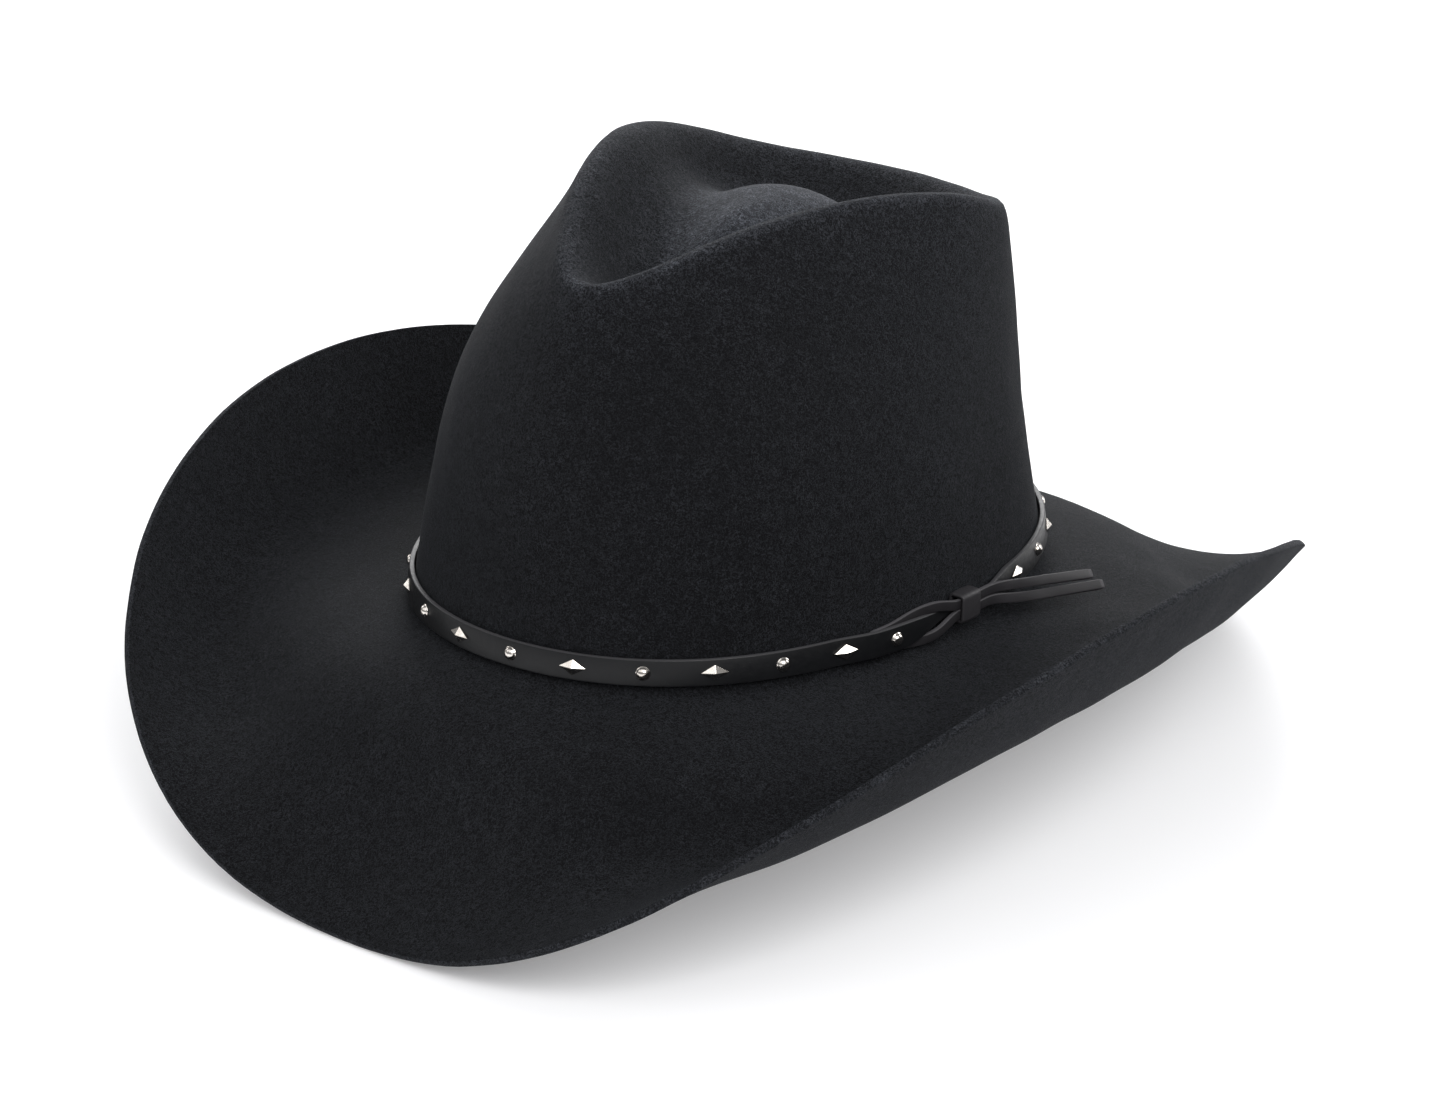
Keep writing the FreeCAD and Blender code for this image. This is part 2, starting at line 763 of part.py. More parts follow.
def resting_place():
    """Tips the hat onto its brim and puts the origin under the middle of its outline."""
    tip = Placement(Vector(), Rotation(Vector(1, 0, 0), -size("rest_tilt")))
    tipped = felt.Shape.copy()
    tipped.Placement = tip
    box = tipped.optimalBoundingBox(False, False)
    return Placement(Vector(0, -(box.YMin + box.YMax) / 2, -box.ZMin), tip.Rotation)


resting = resting_place()
for item in made:
    item.Placement = resting.multiply(item.Placement)
doc.recompute()

for thing in doc.Objects:
    if "Invalid" in thing.State or "Error" in thing.State:
        raise RuntimeError("failed: %s %s" % (thing.Label, thing.State))
for item in made:
    if item.Shape.isNull() or not item.Shape.isValid():
        raise RuntimeError("bad shape: " + item.Label)

os.makedirs("parts", exist_ok=True)
for item in made:
    item.Shape.exportStep("parts/%s.step" % item.Label)
    print("%-18s %9.1f mm3  %d solid(s)" % (item.Label, item.Shape.Volume, len(item.Shape.Solids)))
print("resting place", resting)
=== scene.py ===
import json
from math import acos, cos, pi, radians, sin

import bmesh
import bpy
import numpy as np
from mathutils import Matrix, Vector


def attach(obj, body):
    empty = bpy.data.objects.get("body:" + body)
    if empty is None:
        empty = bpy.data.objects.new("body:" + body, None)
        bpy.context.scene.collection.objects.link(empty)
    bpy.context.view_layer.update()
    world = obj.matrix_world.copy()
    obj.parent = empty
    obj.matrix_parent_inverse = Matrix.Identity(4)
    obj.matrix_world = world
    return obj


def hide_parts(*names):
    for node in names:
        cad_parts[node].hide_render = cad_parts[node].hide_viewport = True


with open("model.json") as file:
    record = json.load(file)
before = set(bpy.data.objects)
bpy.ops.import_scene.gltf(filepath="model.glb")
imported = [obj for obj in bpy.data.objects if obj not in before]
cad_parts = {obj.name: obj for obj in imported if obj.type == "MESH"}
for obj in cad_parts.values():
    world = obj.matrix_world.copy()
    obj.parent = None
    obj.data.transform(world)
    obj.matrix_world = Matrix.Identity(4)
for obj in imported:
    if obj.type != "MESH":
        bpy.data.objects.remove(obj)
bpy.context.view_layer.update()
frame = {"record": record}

# The hat is laid out in its own axes, in millimetres: front = -Y, the wearer's left = +X,
# up = +Z, origin at the middle of the band. Angles run from the front (0) over the wearer's
# left (90) to the back (180). The head opening's mount says where those axes lie in the frame.

MM = 0.001
OPENING_BELOW_BAND = 8.5

opening = frame["record"]["mounts"][0]
HAT_UP = -np.array(opening["axis"], float)
HAT_UP /= np.linalg.norm(HAT_UP)
HAT_LEFT = np.array([1.0, 0.0, 0.0])
HAT_BACK = np.cross(HAT_UP, HAT_LEFT)
HAT_AXES = np.column_stack([HAT_LEFT, HAT_BACK, HAT_UP])
HAT_MIDDLE = np.array(opening["pos_m"], float) + HAT_UP * OPENING_BELOW_BAND * MM


def placed(points):
    """Millimetres in the hat's axes to metres in the frame."""
    return HAT_MIDDLE + MM * np.asarray(points, float) @ HAT_AXES.T


# ---------------------------------------------------------------- curves of the hat

POLES = 40                    # control columns round the hat
COLUMNS = 360                 # mesh columns round the hat
FELT_THICKNESS = 2.4
BREAK_DROP = 7.5              # brim break below the middle of the band
HEAD_HALF_WIDTH = 82.3        # of an ellipse close to the felt's outside at the band
HEAD_HALF_LENGTH = 106.0
HEAD_SQUARENESS = 0.012       # how far the felt's oval is squared off from that ellipse
ISLAND_MIDDLE = 14.0          # ridge between the crown's dents
ISLAND_HEIGHT = 105.5
UP = np.array([0.0, 0.0, 1.0])


def unit(vectors):
    return vectors / np.linalg.norm(vectors, axis=-1, keepdims=True)


def wave(theta, *sizes):
    """A size that changes smoothly round the hat and is the same left and right."""
    return sum(size * np.cos(order * theta) for order, size in enumerate(sizes))


def head_normal(theta):
    return unit(np.stack([np.sin(theta) / HEAD_HALF_WIDTH, -np.cos(theta) / HEAD_HALF_LENGTH, 0 * theta], -1))


def head_oval(theta, outward=0.0, height=0.0):
    """Points beside the felt's outside at the band."""
    x = HEAD_HALF_WIDTH * (np.sin(theta) + HEAD_SQUARENESS * np.sin(3 * theta))
    y = -HEAD_HALF_LENGTH * (np.cos(theta) - HEAD_SQUARENESS * np.cos(3 * theta))
    spots = np.stack([x, y, 0 * theta], -1)
    return spots + head_normal(theta) * np.reshape(outward, (-1, 1)) + np.reshape(height, (-1, 1)) * UP


def crest(theta):
    """Highest line of the crown's rim."""
    x = 50.6 * np.sin(theta) * (1 - 0.436 * np.cos(theta))
    y = wave(theta, 7.6, -77.1, -1.5)
    z = wave(theta, 107.2, 2.8, -9.7, -1.7, 0.8)
    return np.stack([x, y, z], -1)


def crest_normal(theta):
    """Level direction outward from the crest."""
    along = crest(theta + 0.001) - crest(theta - 0.001)
    return unit(np.stack([along[:, 1], -along[:, 0], 0 * theta], -1))


def brim_edge(theta):
    """Outermost line of the brim's upper side."""
    x = 144.0 * np.sin(theta) + 3.7 * np.sin(2 * theta) - 14.1 * np.sin(3 * theta)
    y = wave(theta, 2.3, -199.8, 3.1, 22.3)
    z = wave(theta, -23.4, -7.1, -42.1, -2.1, 7.3)
    return np.stack([x, y, z], -1)


def by_column(values):
    return np.reshape(values, (-1, 1))


def crown_profile(theta):
    """Control points of the crown's outside, from the brim break to the top's middle."""
    foot = head_oval(theta, 0.0, -BREAK_DROP)
    out = head_normal(theta)
    top = crest(theta)
    over = crest_normal(theta)
    shoulder = top + over * 4.6 - UP * 10.1
    low_wall = foot + (shoulder - foot) * 0.33 + out * by_column(wave(theta, 3.8, 5.1, -1.2, -2.2))
    high_wall = foot + (shoulder - foot) * 0.70 + out * by_column(wave(theta, 8.1, 8.4, -0.9, -3.7))
    rows = [foot, foot + UP * 5 + out * 0.3, low_wall, high_wall, shoulder]
    rows += [top + over * 2.5 + UP, top - over * 6.0 - UP * 2.5]

    depth = 20.0 - 6.0 * (1 - np.cos(theta)) / 2
    crease = top[:, 2] - depth
    rings = [(0.74, top[:, 2] - 0.72 * depth), (0.60, crease)]
    rings += [(0.42, 0.35 * crease + 0.65 * (ISLAND_HEIGHT - 6.5)), (0.24, ISLAND_HEIGHT - 1.5)]
    rings += [(0.10, ISLAND_HEIGHT), (0.0, ISLAND_HEIGHT)]
    middle = np.array([0.0, ISLAND_MIDDLE, 0.0])
    for reach, height in rings:
        ring = middle + (top - middle) * reach
        ring[:, 2] = height
        rows.append(ring)
    return rows


def brim_profile(theta):
    """Control points of the brim's upper side, from the edge to just outside the break."""
    edge = brim_edge(theta)
    foot = head_oval(theta, 0.0, -BREAK_DROP)
    span = by_column(np.linalg.norm(edge - foot, axis=1))
    level = unit((edge - foot) * np.array([1.0, 1.0, 0.0]))
    leaving = unit(level + UP * by_column(wave(theta, -0.18, -0.07, -0.08)))
    arriving = unit(level + UP * by_column(wave(theta, 0.60, 0.03, -1.56, -0.16, 0.39)))
    inner_reach = span * by_column(wave(theta, 0.48, 0.0, -0.15))
    outer_reach = span * by_column(wave(theta, 0.35, 0.0, -0.04))
    return [edge, edge - arriving * outer_reach, foot + leaving * inner_reach, foot + leaving * 4]


# ---------------------------------------------------------------- spline surfaces

def clamped_basis(count, at):
    """Weights of count cubic control points at the parameters, clamped at both ends."""
    spans = count - 3
    knots = np.concatenate([[0, 0, 0], np.arange(spans + 1), [spans] * 3]).astype(float)
    at = np.clip(at, 0, spans - 1e-9)
    weights = [(at >= a) & (at < b) for a, b in zip(knots[:-1], knots[1:])]
    weights = np.array(weights, float)
    for degree in (1, 2, 3):
        raised = np.zeros((len(weights) - 1, len(at)))
        for i in range(len(raised)):
            rise = knots[i + degree] - knots[i]
            fall = knots[i + degree + 1] - knots[i + 1]
            if rise > 0:
                raised[i] += weights[i] * (at - knots[i]) / rise
            if fall > 0:
                raised[i] += weights[i + 1] * (knots[i + degree + 1] - at) / fall
        weights = raised
    return weights.T


def ring_basis(count, at):
    """Weights of count cubic control points on a closed ring, at parameters from 0 to count."""
    cell = np.floor(at).astype(int)
    part = at - cell
    weights = np.zeros((len(at), count))
    cubic = [(1 - part) ** 3, 3 * part ** 3 - 6 * part ** 2 + 4,
             -3 * part ** 3 + 3 * part ** 2 + 3 * part + 1, part ** 3]
    for step, values in enumerate(cubic):
        weights[np.arange(len(at)), (cell + step - 1) % count] += values / 6
    return weights


POLE_ANGLES = 2 * pi * np.arange(POLES) / POLES
COLUMN_ANGLES = 2 * pi * np.arange(COLUMNS) / COLUMNS
ROUND = ring_basis(POLES, POLES * np.arange(COLUMNS) / COLUMNS)


def surface(net, across):
    """Points of the closed skin over a net, at the parameters across it."""
    net = np.asarray(net)
    bend = np.roll(net, -1, 1) - 2 * net + np.roll(net, 1, 1)
    poles = net - bend / 6
    return np.einsum("ri,ijk,cj->rck", clamped_basis(len(net), across), poles, ROUND)


def inner_net(net, thickness):
    """The same net moved inward, or down where the skin lies level."""
    net = np.asarray(net)
    around = np.roll(net, -1, 1) - np.roll(net, 1, 1)
    padded = np.concatenate([net[:1], net, net[-1:]])
    normal = np.cross(around, padded[2:] - padded[:-2])
    level = np.linalg.norm(around, axis=2) < 1e-6
    normal[level] = UP
    return net - unit(normal) * thickness


def even_parameters(net, pitch):
    """Parameters across a net that lie about one pitch apart on its skin."""
    fine = np.linspace(0, len(net) - 3, 1200)
    lines = surface(net, fine)[:, ::COLUMNS // 8]
    steps = np.linalg.norm(np.diff(lines, axis=0), axis=2).mean(1)
    length = np.concatenate([[0], np.cumsum(steps)])
    return np.interp(np.linspace(0, length[-1], int(length[-1] / pitch)), length, fine)


WALL_ROWS = 7                 # control rows from the brim break to the crown's rim
WALL_NET = np.array(crown_profile(COLUMN_ANGLES)[:WALL_ROWS])
WALL_CURVES = np.einsum("ri,ijk->rjk", clamped_basis(WALL_ROWS, np.linspace(0, 3.2, 400)), WALL_NET)


def wall_ring(height, inset):
    """Ring inside the crown at a height, its distance from the felt's outside square to the wall."""
    heights = np.broadcast_to(height, COLUMNS)
    insets = np.broadcast_to(inset, COLUMNS)
    ring = np.zeros((COLUMNS, 3))
    rise = np.zeros(COLUMNS)
    for c in range(COLUMNS):
        curve = WALL_CURVES[:, c]
        place = np.interp(heights[c], curve[:, 2], np.arange(len(curve)))
        low = min(int(place), len(curve) - 2)
        ring[c] = curve[low] + (curve[low + 1] - curve[low]) * (place - low)
        rise[c] = unit(curve[low + 1] - curve[low])[2]
    return ring - head_normal(COLUMN_ANGLES) * by_column(insets / rise)


# ---------------------------------------------------------------- meshes

def band_faces(rows, columns, closed_across=False):
    """Quads between neighbouring rings of points; the last ring may join the first."""
    last_row = rows if closed_across else rows - 1
    r, c = np.meshgrid(np.arange(last_row), np.arange(columns), indexing="ij")
    r, c = r.ravel(), c.ravel()
    next_r, next_c = (r + 1) % rows, (c + 1) % columns
    quads = [r * columns + c, r * columns + next_c, next_r * columns + next_c, next_r * columns + c]
    return np.stack(quads, 1).tolist()


def fan_faces(first, columns, middle):
    """Triangles from the ring of points that starts at first to its middle point."""
    return [[first + c, first + (c + 1) % columns, middle] for c in range(columns)]


def add_piece(name, points, faces, look, body, slot=None, replaces=(), attribute=None):
    """One mesh piece that rides on a body; points are in the hat's axes in millimetres."""
    mesh = bpy.data.meshes.new(name)
    mesh.from_pydata(placed(points).tolist(), [], faces)
    if attribute is not None:
        layer = mesh.attributes.new(attribute[0], "FLOAT", "POINT")
        layer.data.foreach_set("value", np.asarray(attribute[1], np.float32).ravel())
    shape = bmesh.new()
    shape.from_mesh(mesh)
    bmesh.ops.recalc_face_normals(shape, faces=shape.faces)
    shape.to_mesh(mesh)
    shape.free()
    for polygon in mesh.polygons:
        polygon.use_smooth = True
    for one in look if isinstance(look, (list, tuple)) else [look]:
        mesh.materials.append(one)
    piece = bpy.data.objects.new(name, mesh)
    bpy.context.scene.collection.objects.link(piece)
    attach(piece, body)
    if replaces:
        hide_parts(*replaces)
    return piece


def ring_piece(name, sections, look, body, **facts):
    """Closed ring: each section is a ring of points, and the last one joins the first."""
    points = np.concatenate(sections)
    faces = band_faces(len(sections), COLUMNS, closed_across=True)
    return add_piece(name, points, faces, look, body, **facts)


def joined(parts):
    """Points and faces of several small meshes, as one mesh."""
    points, faces, start = [], [], 0
    for part_points, part_faces in parts:
        points.append(part_points)
        faces += [[index + start for index in face] for face in part_faces]
        start += len(part_points)
    return np.concatenate(points), faces


def capped(rows):
    """Points and faces of a skin over rings of equal size, closed with a flat face at each end."""
    size = len(rows[0])
    faces = band_faces(len(rows), size)
    faces.append(list(range(size)))
    faces.append(list(range((len(rows) - 1) * size, len(rows) * size))[::-1])
    return np.concatenate(rows), faces


def rounded_section(width, thickness, radius, steps=3):
    """Outline of a flat strip: across, out, and how much of a cut side each point is."""
    outline = []
    for quarter in range(4):
        side_x = 1 if quarter in (0, 3) else -1
        side_y = 1 if quarter in (0, 1) else -1
        for step in range(steps + 1):
            angle = (quarter + step / steps) * pi / 2
            x = side_x * (width / 2 - radius) + radius * cos(angle)
            y = side_y * (thickness / 2 - radius) + radius * sin(angle)
            outline.append((x, y, abs(cos(angle))))
    return np.array(outline)


def swept_strip(centres, across, out, widths, thicknesses, radius=0.35):
    """Flat strip with rounded corners and rounded ends along a line of centres."""
    points, cut = [], []           # the outlines, and how much of a cut side their points are
    count = len(centres)
    ends = [0.86, 0.96] + [1.0] * (count - 4) + [0.96, 0.86]
    for i in range(count):
        outline = rounded_section(widths[i] * ends[i], thicknesses[i] * ends[i], radius * ends[i])
        points.append(centres[i] + outline[:, :1] * across[i] + outline[:, 1:2] * out[i])
        cut.append(outline[:, 2] if 1 < i < count - 2 else np.ones(len(outline)))
    return *capped(points), np.concatenate(cut)


def tube(centres, radii, sides=12, closed=True, groove=None, lift=UP):
    """Round or ribbed tube along a line of centres that never runs along the lift direction."""
    along = np.roll(centres, -1, 0) - np.roll(centres, 1, 0)
    if not closed:
        along[0], along[-1] = centres[1] - centres[0], centres[-1] - centres[-2]
    along = unit(along)
    side = unit(np.cross(along, lift))
    lift = np.cross(side, along)
    points = []
    for k in range(sides):
        angle = 2 * pi * k / sides
        reach = np.broadcast_to(radii, len(centres)).copy()
        if groove is not None:
            reach = reach * groove(angle, np.arange(len(centres)) / len(centres))
        points.append(centres + side * by_column(reach * cos(angle)) + lift * by_column(reach * sin(angle)))
    rows = list(np.stack(points, 1))
    if not closed:
        return capped(rows)
    return np.concatenate(rows), band_faces(len(rows), sides, closed_across=True)


def smooth_noise(points, pitch, seed):
    """Soft unevenness between -1 and 1 in space, made of a few slanted waves."""
    draws = np.random.default_rng(seed)
    total = np.zeros(points.shape[:-1])
    for _ in range(9):
        direction = unit(draws.normal(size=3))
        phase = draws.uniform(0, 2 * pi)
        total += np.sin(points @ direction * (2 * pi / (pitch * draws.uniform(0.7, 1.5))) + phase)
    return total / 5


# ---------------------------------------------------------------- materials

class Look:
    """A material under construction, with short calls for the nodes it needs."""

    def __init__(self, name, **constants):
        self.material = bpy.data.materials.new(name)
        self.material.use_nodes = True
        self.tree = self.material.node_tree
        self.surface = self.tree.nodes["Principled BSDF"]
        self.place = self.add("ShaderNodeTexCoord").outputs["Object"]
        for socket, value in constants.items():
            self.surface.inputs[socket.replace("_", " ")].default_value = value

    def add(self, kind, inputs=(), **settings):
        node = self.tree.nodes.new(kind)
        for key, value in settings.items():
            setattr(node, key, value)
        for key, value in dict(inputs).items():
            if hasattr(value, "is_output"):
                self.tree.links.new(value, node.inputs[key])
            else:
                node.inputs[key].default_value = value
        return node

    def set(self, socket, value):
        """Links an output to one of the shader's sockets."""
        self.tree.links.new(value, self.surface.inputs[socket])

    def noise(self, pitch, detail=3.0, roughness=0.5, distortion=0.0):
        """Noise whose lumps are about one pitch (mm) apart."""
        inputs = {"Vector": self.place, "Scale": 1 / (pitch * MM), "Detail": detail,
                  "Roughness": roughness, "Distortion": distortion}
        return self.add("ShaderNodeTexNoise", inputs).outputs["Fac"]

    def cells(self, pitch, feature="F1"):
        """Distance to the nearest of scattered points about one pitch (mm) apart."""
        inputs = {"Vector": self.place, "Scale": 1 / (pitch * MM)}
        return self.add("ShaderNodeTexVoronoi", inputs, feature=feature).outputs["Distance"]

    def span(self, value, low, high, to_low=0.0, to_high=1.0):
        """The value stretched from one span to another and cut off at its ends."""
        inputs = {"Value": value, "From Min": low, "From Max": high, "To Min": to_low, "To Max": to_high}
        return self.add("ShaderNodeMapRange", inputs).outputs["Result"]

    def math(self, operation, first, second):
        node = self.add("ShaderNodeMath", operation=operation)
        for socket, value in zip(node.inputs, (first, second)):
            if hasattr(value, "is_output"):
                self.tree.links.new(value, socket)
            else:
                socket.default_value = value
        return node.outputs["Value"]

    def mix(self, factor, first, second):
        """A colour between two colours, each an output or three numbers."""
        node = self.add("ShaderNodeMix", data_type="RGBA")
        sockets = [s for s in node.inputs if s.type == "RGBA"]
        self.tree.links.new(factor, node.inputs[0])
        for socket, value in zip(sockets, (first, second)):
            if hasattr(value, "is_output"):
                self.tree.links.new(value, socket)
            else:
                socket.default_value = (*value, 1.0)
        return next(s for s in node.outputs if s.type == "RGBA")

    def bump(self, height, strength, depth, under=None):
        """Relief of one depth (mm) at most."""
        inputs = {"Height": height, "Strength": strength, "Distance": depth * MM}
        if under is not None:
            inputs["Normal"] = under
        return self.add("ShaderNodeBump", inputs).outputs["Normal"]


# Colour of the pale nap, also used for the painted highlight on the crown's rim and middle ridge.
NAP_AND_HIGHLIGHT_COLOUR = (0.170, 0.181, 0.211)


def felt_look(name, ground):
    """Black fur felt: dark ground with a fine pale nap, paler where the "raised" attribute is high. That
    attribute is the nap's real thickness on most of the felt, and painted highlight on the crown's rim and
    its middle ridge; on the cut edge it is partly the raw edge's paler tone and partly painted highlight.
    """
    look = Look(name, Roughness=0.95, Specular_IOR_Level=0.12, Sheen_Weight=0.042,
                Sheen_Roughness=0.36, Sheen_Tint=(0.70, 0.76, 0.88, 1.0))
    raised = look.add("ShaderNodeAttribute", attribute_name="raised").outputs["Fac"]
    fibres = look.noise(0.8, 2.0, 0.6, 1.6)
    hairs = look.noise(1.5, 3.0, 0.7, 3.0)
    clumps = look.noise(4.5, 4.0, 0.6, 0.6)
    cloud = look.noise(38.0, 3.0, 0.5)
    strands = look.math("ADD", look.math("MULTIPLY", fibres, 0.6), look.math("MULTIPLY", hairs, 0.4))
    nap = look.span(strands, 0.46, 0.72)
    tone = look.math("MULTIPLY", nap, look.span(clumps, 0.35, 0.65, 0.6, 1.2))
    tone = look.math("MULTIPLY", tone, look.span(cloud, 0.3, 0.7, 0.8, 1.15))
    # Painted highlight: extra pale ground where "raised" is high, on the crown's rim and its middle ridge.
    painted_highlight_ground = look.math("MULTIPLY", look.math("MULTIPLY", raised, raised), 0.09)
    pale = look.math("ADD", look.math("MULTIPLY", tone, raised), painted_highlight_ground)
    look.set("Base Color", look.mix(pale, ground, NAP_AND_HIGHLIGHT_COLOUR))
    look.set("Normal", look.bump(clumps, 0.35, 0.6, look.bump(nap, 0.9, 0.40)))
    return look.material


def leather_look(name, colour, pale, roughness, pore=0.32):
    """Smooth satin leather; the cut sides are paler and rougher."""
    look = Look(name, Specular_IOR_Level=0.3, Coat_Weight=0.03, Coat_Roughness=0.30)
    cut = look.add("ShaderNodeAttribute", attribute_name="cut").outputs["Fac"]
    pores = look.cells(pore)
    grain = look.noise(1.3, 4.0, 0.6)
    cloud = look.noise(14.0, 3.0, 0.5)
    scuff = look.noise(2.4, 6.0, 0.72, 2.0)
    face = look.mix(look.span(cloud, 0.3, 0.7), [c * 0.82 for c in colour], [c * 1.16 for c in colour])
    face = look.mix(look.span(scuff, 0.62, 0.80, 0.0, 0.35), face, pale)
    edge = look.mix(look.span(look.noise(0.5, 4.0, 0.7), 0.3, 0.7), [c * 0.75 for c in pale], pale)
    wear = look.math("MULTIPLY", look.span(cut, 0.35, 0.95), 0.9)
    look.set("Base Color", look.mix(wear, face, edge))
    shine = look.math("ADD", look.span(grain, 0.3, 0.7, roughness - 0.06, roughness + 0.08),
                      look.math("MULTIPLY", wear, 0.25))
    look.set("Roughness", shine)
    relief = look.math("ADD", look.span(pores, 0.0, 0.55), look.math("MULTIPLY", grain, 0.9))
    look.set("Normal", look.bump(relief, 0.35, 0.05))
    return look.material


def metal_look():
    """Polished nickel with a little wear and tarnish."""
    look = Look("polished_nickel", Metallic=1.0)
    tarnish = look.noise(2.2, 5.0, 0.65, 0.6)
    scratches = look.noise(0.22, 3.0, 0.7, 3.5)
    colour = look.mix(look.span(tarnish, 0.35, 0.75), (0.82, 0.78, 0.73), (0.56, 0.51, 0.46))
    look.set("Base Color", colour)
    look.set("Roughness", look.span(scratches, 0.3, 0.7, 0.10, 0.24))
    look.set("Normal", look.bump(look.noise(0.9, 2.0, 0.5), 0.22, 0.05))
    return look.material


def satin_look():
    """Black satin with a soft directional shine and a fine rib."""
    look = Look("lining_satin", Specular_IOR_Level=0.5, Anisotropic=0.5, Sheen_Weight=0.25,
                Sheen_Roughness=0.3)
    rib = look.noise(0.28, 2.0, 0.5)
    cloud = look.noise(22.0, 3.0, 0.5)
    look.set("Base Color", look.mix(look.span(cloud, 0.3, 0.7), (0.026, 0.026, 0.030), (0.036, 0.036, 0.042)))
    look.set("Roughness", look.span(rib, 0.3, 0.7, 0.28, 0.42))
    look.set("Normal", look.bump(rib, 0.3, 0.04))
    return look.material


def woven_look(name, colour, pitch):
    """Narrow woven tape or ribbon with a visible rib."""
    look = Look(name, Roughness=0.75, Specular_IOR_Level=0.35, Sheen_Weight=0.3, Sheen_Roughness=0.4)
    weave = look.cells(pitch, "SMOOTH_F1")
    thread = look.noise(pitch * 0.8, 3.0, 0.6)
    shade = look.math("MULTIPLY", look.span(weave, 0.1, 0.7), look.span(thread, 0.25, 0.75, 0.6, 1.0))
    look.set("Base Color", look.mix(shade, [c * 1.5 for c in colour], [c * 0.6 for c in colour]))
    look.set("Normal", look.bump(weave, 0.6, pitch * 0.3))
    return look.material


def thread_look():
    """Waxed tan sewing thread."""
    look = Look("sewing_thread", Roughness=0.6, Sheen_Weight=0.3)
    strands = look.span(look.noise(0.4), 0.3, 0.7)
    look.set("Base Color", look.mix(strands, (0.16, 0.12, 0.085), (0.27, 0.21, 0.15)))
    look.set("Normal", look.bump(look.noise(0.3, 2.0), 0.4, 0.05))
    return look.material


def floor_look():
    """Pale paper that glows a little, so that it stays nearly white in the hat's shade."""
    look = Look("pale_floor", Roughness=0.9, Specular_IOR_Level=0.1, Emission_Strength=0.20,
                Emission_Color=(1.0, 0.99, 1.0, 1.0))
    cloud = look.span(look.noise(400.0), 0.3, 0.7)
    look.set("Base Color", look.mix(cloud, (0.86, 0.86, 0.87), (0.89, 0.89, 0.90)))
    return look.material


FELT = felt_look("black_felt", (0.0029, 0.0031, 0.0037))
FELT_CUT = felt_look("cut_felt", (0.0040, 0.0043, 0.0051))
BAND_LEATHER = leather_look("band_leather", (0.0058, 0.0061, 0.0070), (0.055, 0.054, 0.058), 0.40)
TIE_LEATHER = leather_look("tie_leather", (0.019, 0.018, 0.020), (0.075, 0.072, 0.078), 0.44)
SWEAT_LEATHER = leather_look("sweatband_leather", (0.085, 0.052, 0.033), (0.20, 0.14, 0.10), 0.40, 0.5)
NICKEL = metal_look()
SATIN = satin_look()
TAPE = woven_look("reed_tape", (0.020, 0.020, 0.022), 0.5)
RIBBON = woven_look("bow_ribbon", (0.016, 0.016, 0.019), 0.35)
PIPING = woven_look("lining_piping", (0.022, 0.022, 0.026), 0.4)
THREAD = thread_look()


# ---------------------------------------------------------------- felt body

def felt_body():
    """Crown and brim in one: the outside, the raw cut edge and the inside."""
    outer_net = np.array(brim_profile(POLE_ANGLES) + crown_profile(POLE_ANGLES))
    across = even_parameters(outer_net, pitch=2.1)[:-1]
    across = np.insert(across, 1, across[1] * 0.12)    # keeps the rim's corner crisp
    outer = surface(outer_net, across)
    inner = surface(inner_net(outer_net, FELT_THICKNESS), across)
    unevenness = by_hand(outer)
    lift = unit(outer - inner) * unevenness[..., None]
    outer, inner = outer + lift, inner + lift

    edge_out = unit(outer[0] - outer[1])
    ragged = 0.04 * smooth_noise(outer[0], 3.0, 5)
    rim = []
    for part, proud in ((0.06, 0.16), (0.3, 0.27), (0.55, 0.30), (0.8, 0.26), (0.95, 0.13)):
        rim.append(outer[0] + (inner[0] - outer[0]) * part + edge_out * by_column(proud + ragged))

    rows = list(outer[::-1]) + rim + list(inner)
    faces = band_faces(len(rows), COLUMNS)
    top_middle = surface(outer_net, [len(outer_net) - 3])[0, :1]
    points = np.concatenate(rows + [top_middle, top_middle - UP * FELT_THICKNESS])
    # The "raised" values: the nap's real thickness, painted highlight on the crown's rim and middle ridge,
    # and on the cut edge partly the raw edge's paler tone and partly painted highlight.
    nap = nap_and_painted_highlight(across)
    nap = np.concatenate([nap[::-1], [0.4] * len(rim), np.full(len(nap), 0.17)])
    nap = np.concatenate([np.repeat(nap, COLUMNS), [1.0, 0.3]])
    faces += fan_faces(0, COLUMNS, len(points) - 2)
    faces += fan_faces((len(rows) - 1) * COLUMNS, COLUMNS, len(points) - 1)
    hat = add_piece("felt_body_surface", points, faces, [FELT, FELT_CUT], "hat", slot="felt",
                    replaces=["felt_body"], attribute=("raised", nap))
    first_cut = (len(outer) - 1) * COLUMNS
    last_cut = first_cut + (len(rim) + 1) * COLUMNS
    for polygon in hat.data.polygons[first_cut:last_cut]:
        polygon.material_index = 1


def nap_and_painted_highlight(across):
    """How pale the felt is painted across it: the nap's real thickness, with painted highlight added on the
    crown's rim and on its middle ridge.
    """
    places = [0.0, 2.5, 3.3, 6.6, 7.6, 8.2, 8.9, 9.6, 11.0, 12.2, 14.0]
    heights = [0.15, 0.14, 0.15, 0.16, 0.28, 0.75, 0.32, 0.22, 0.42, 1.02, 1.08]
    return np.interp(across, places, heights)


def by_hand(points):
    """Slight unevenness of a hand-shaped hat, none beside the band."""
    away_in_height = np.clip((np.abs(points[..., 2]) - 9.0) / 12.0, 0.0, 1.0)
    reach = np.hypot(points[..., 0] / HEAD_HALF_WIDTH, points[..., 1] / HEAD_HALF_LENGTH)
    away_outward = np.clip((reach - 1.1) / 0.2, 0.0, 1.0)
    dents = 0.35 * smooth_noise(points, 46.0, 3) + 0.12 * smooth_noise(points, 17.0, 4)
    return np.maximum(away_in_height, away_outward) * dents


# ---------------------------------------------------------------- inside of the hat

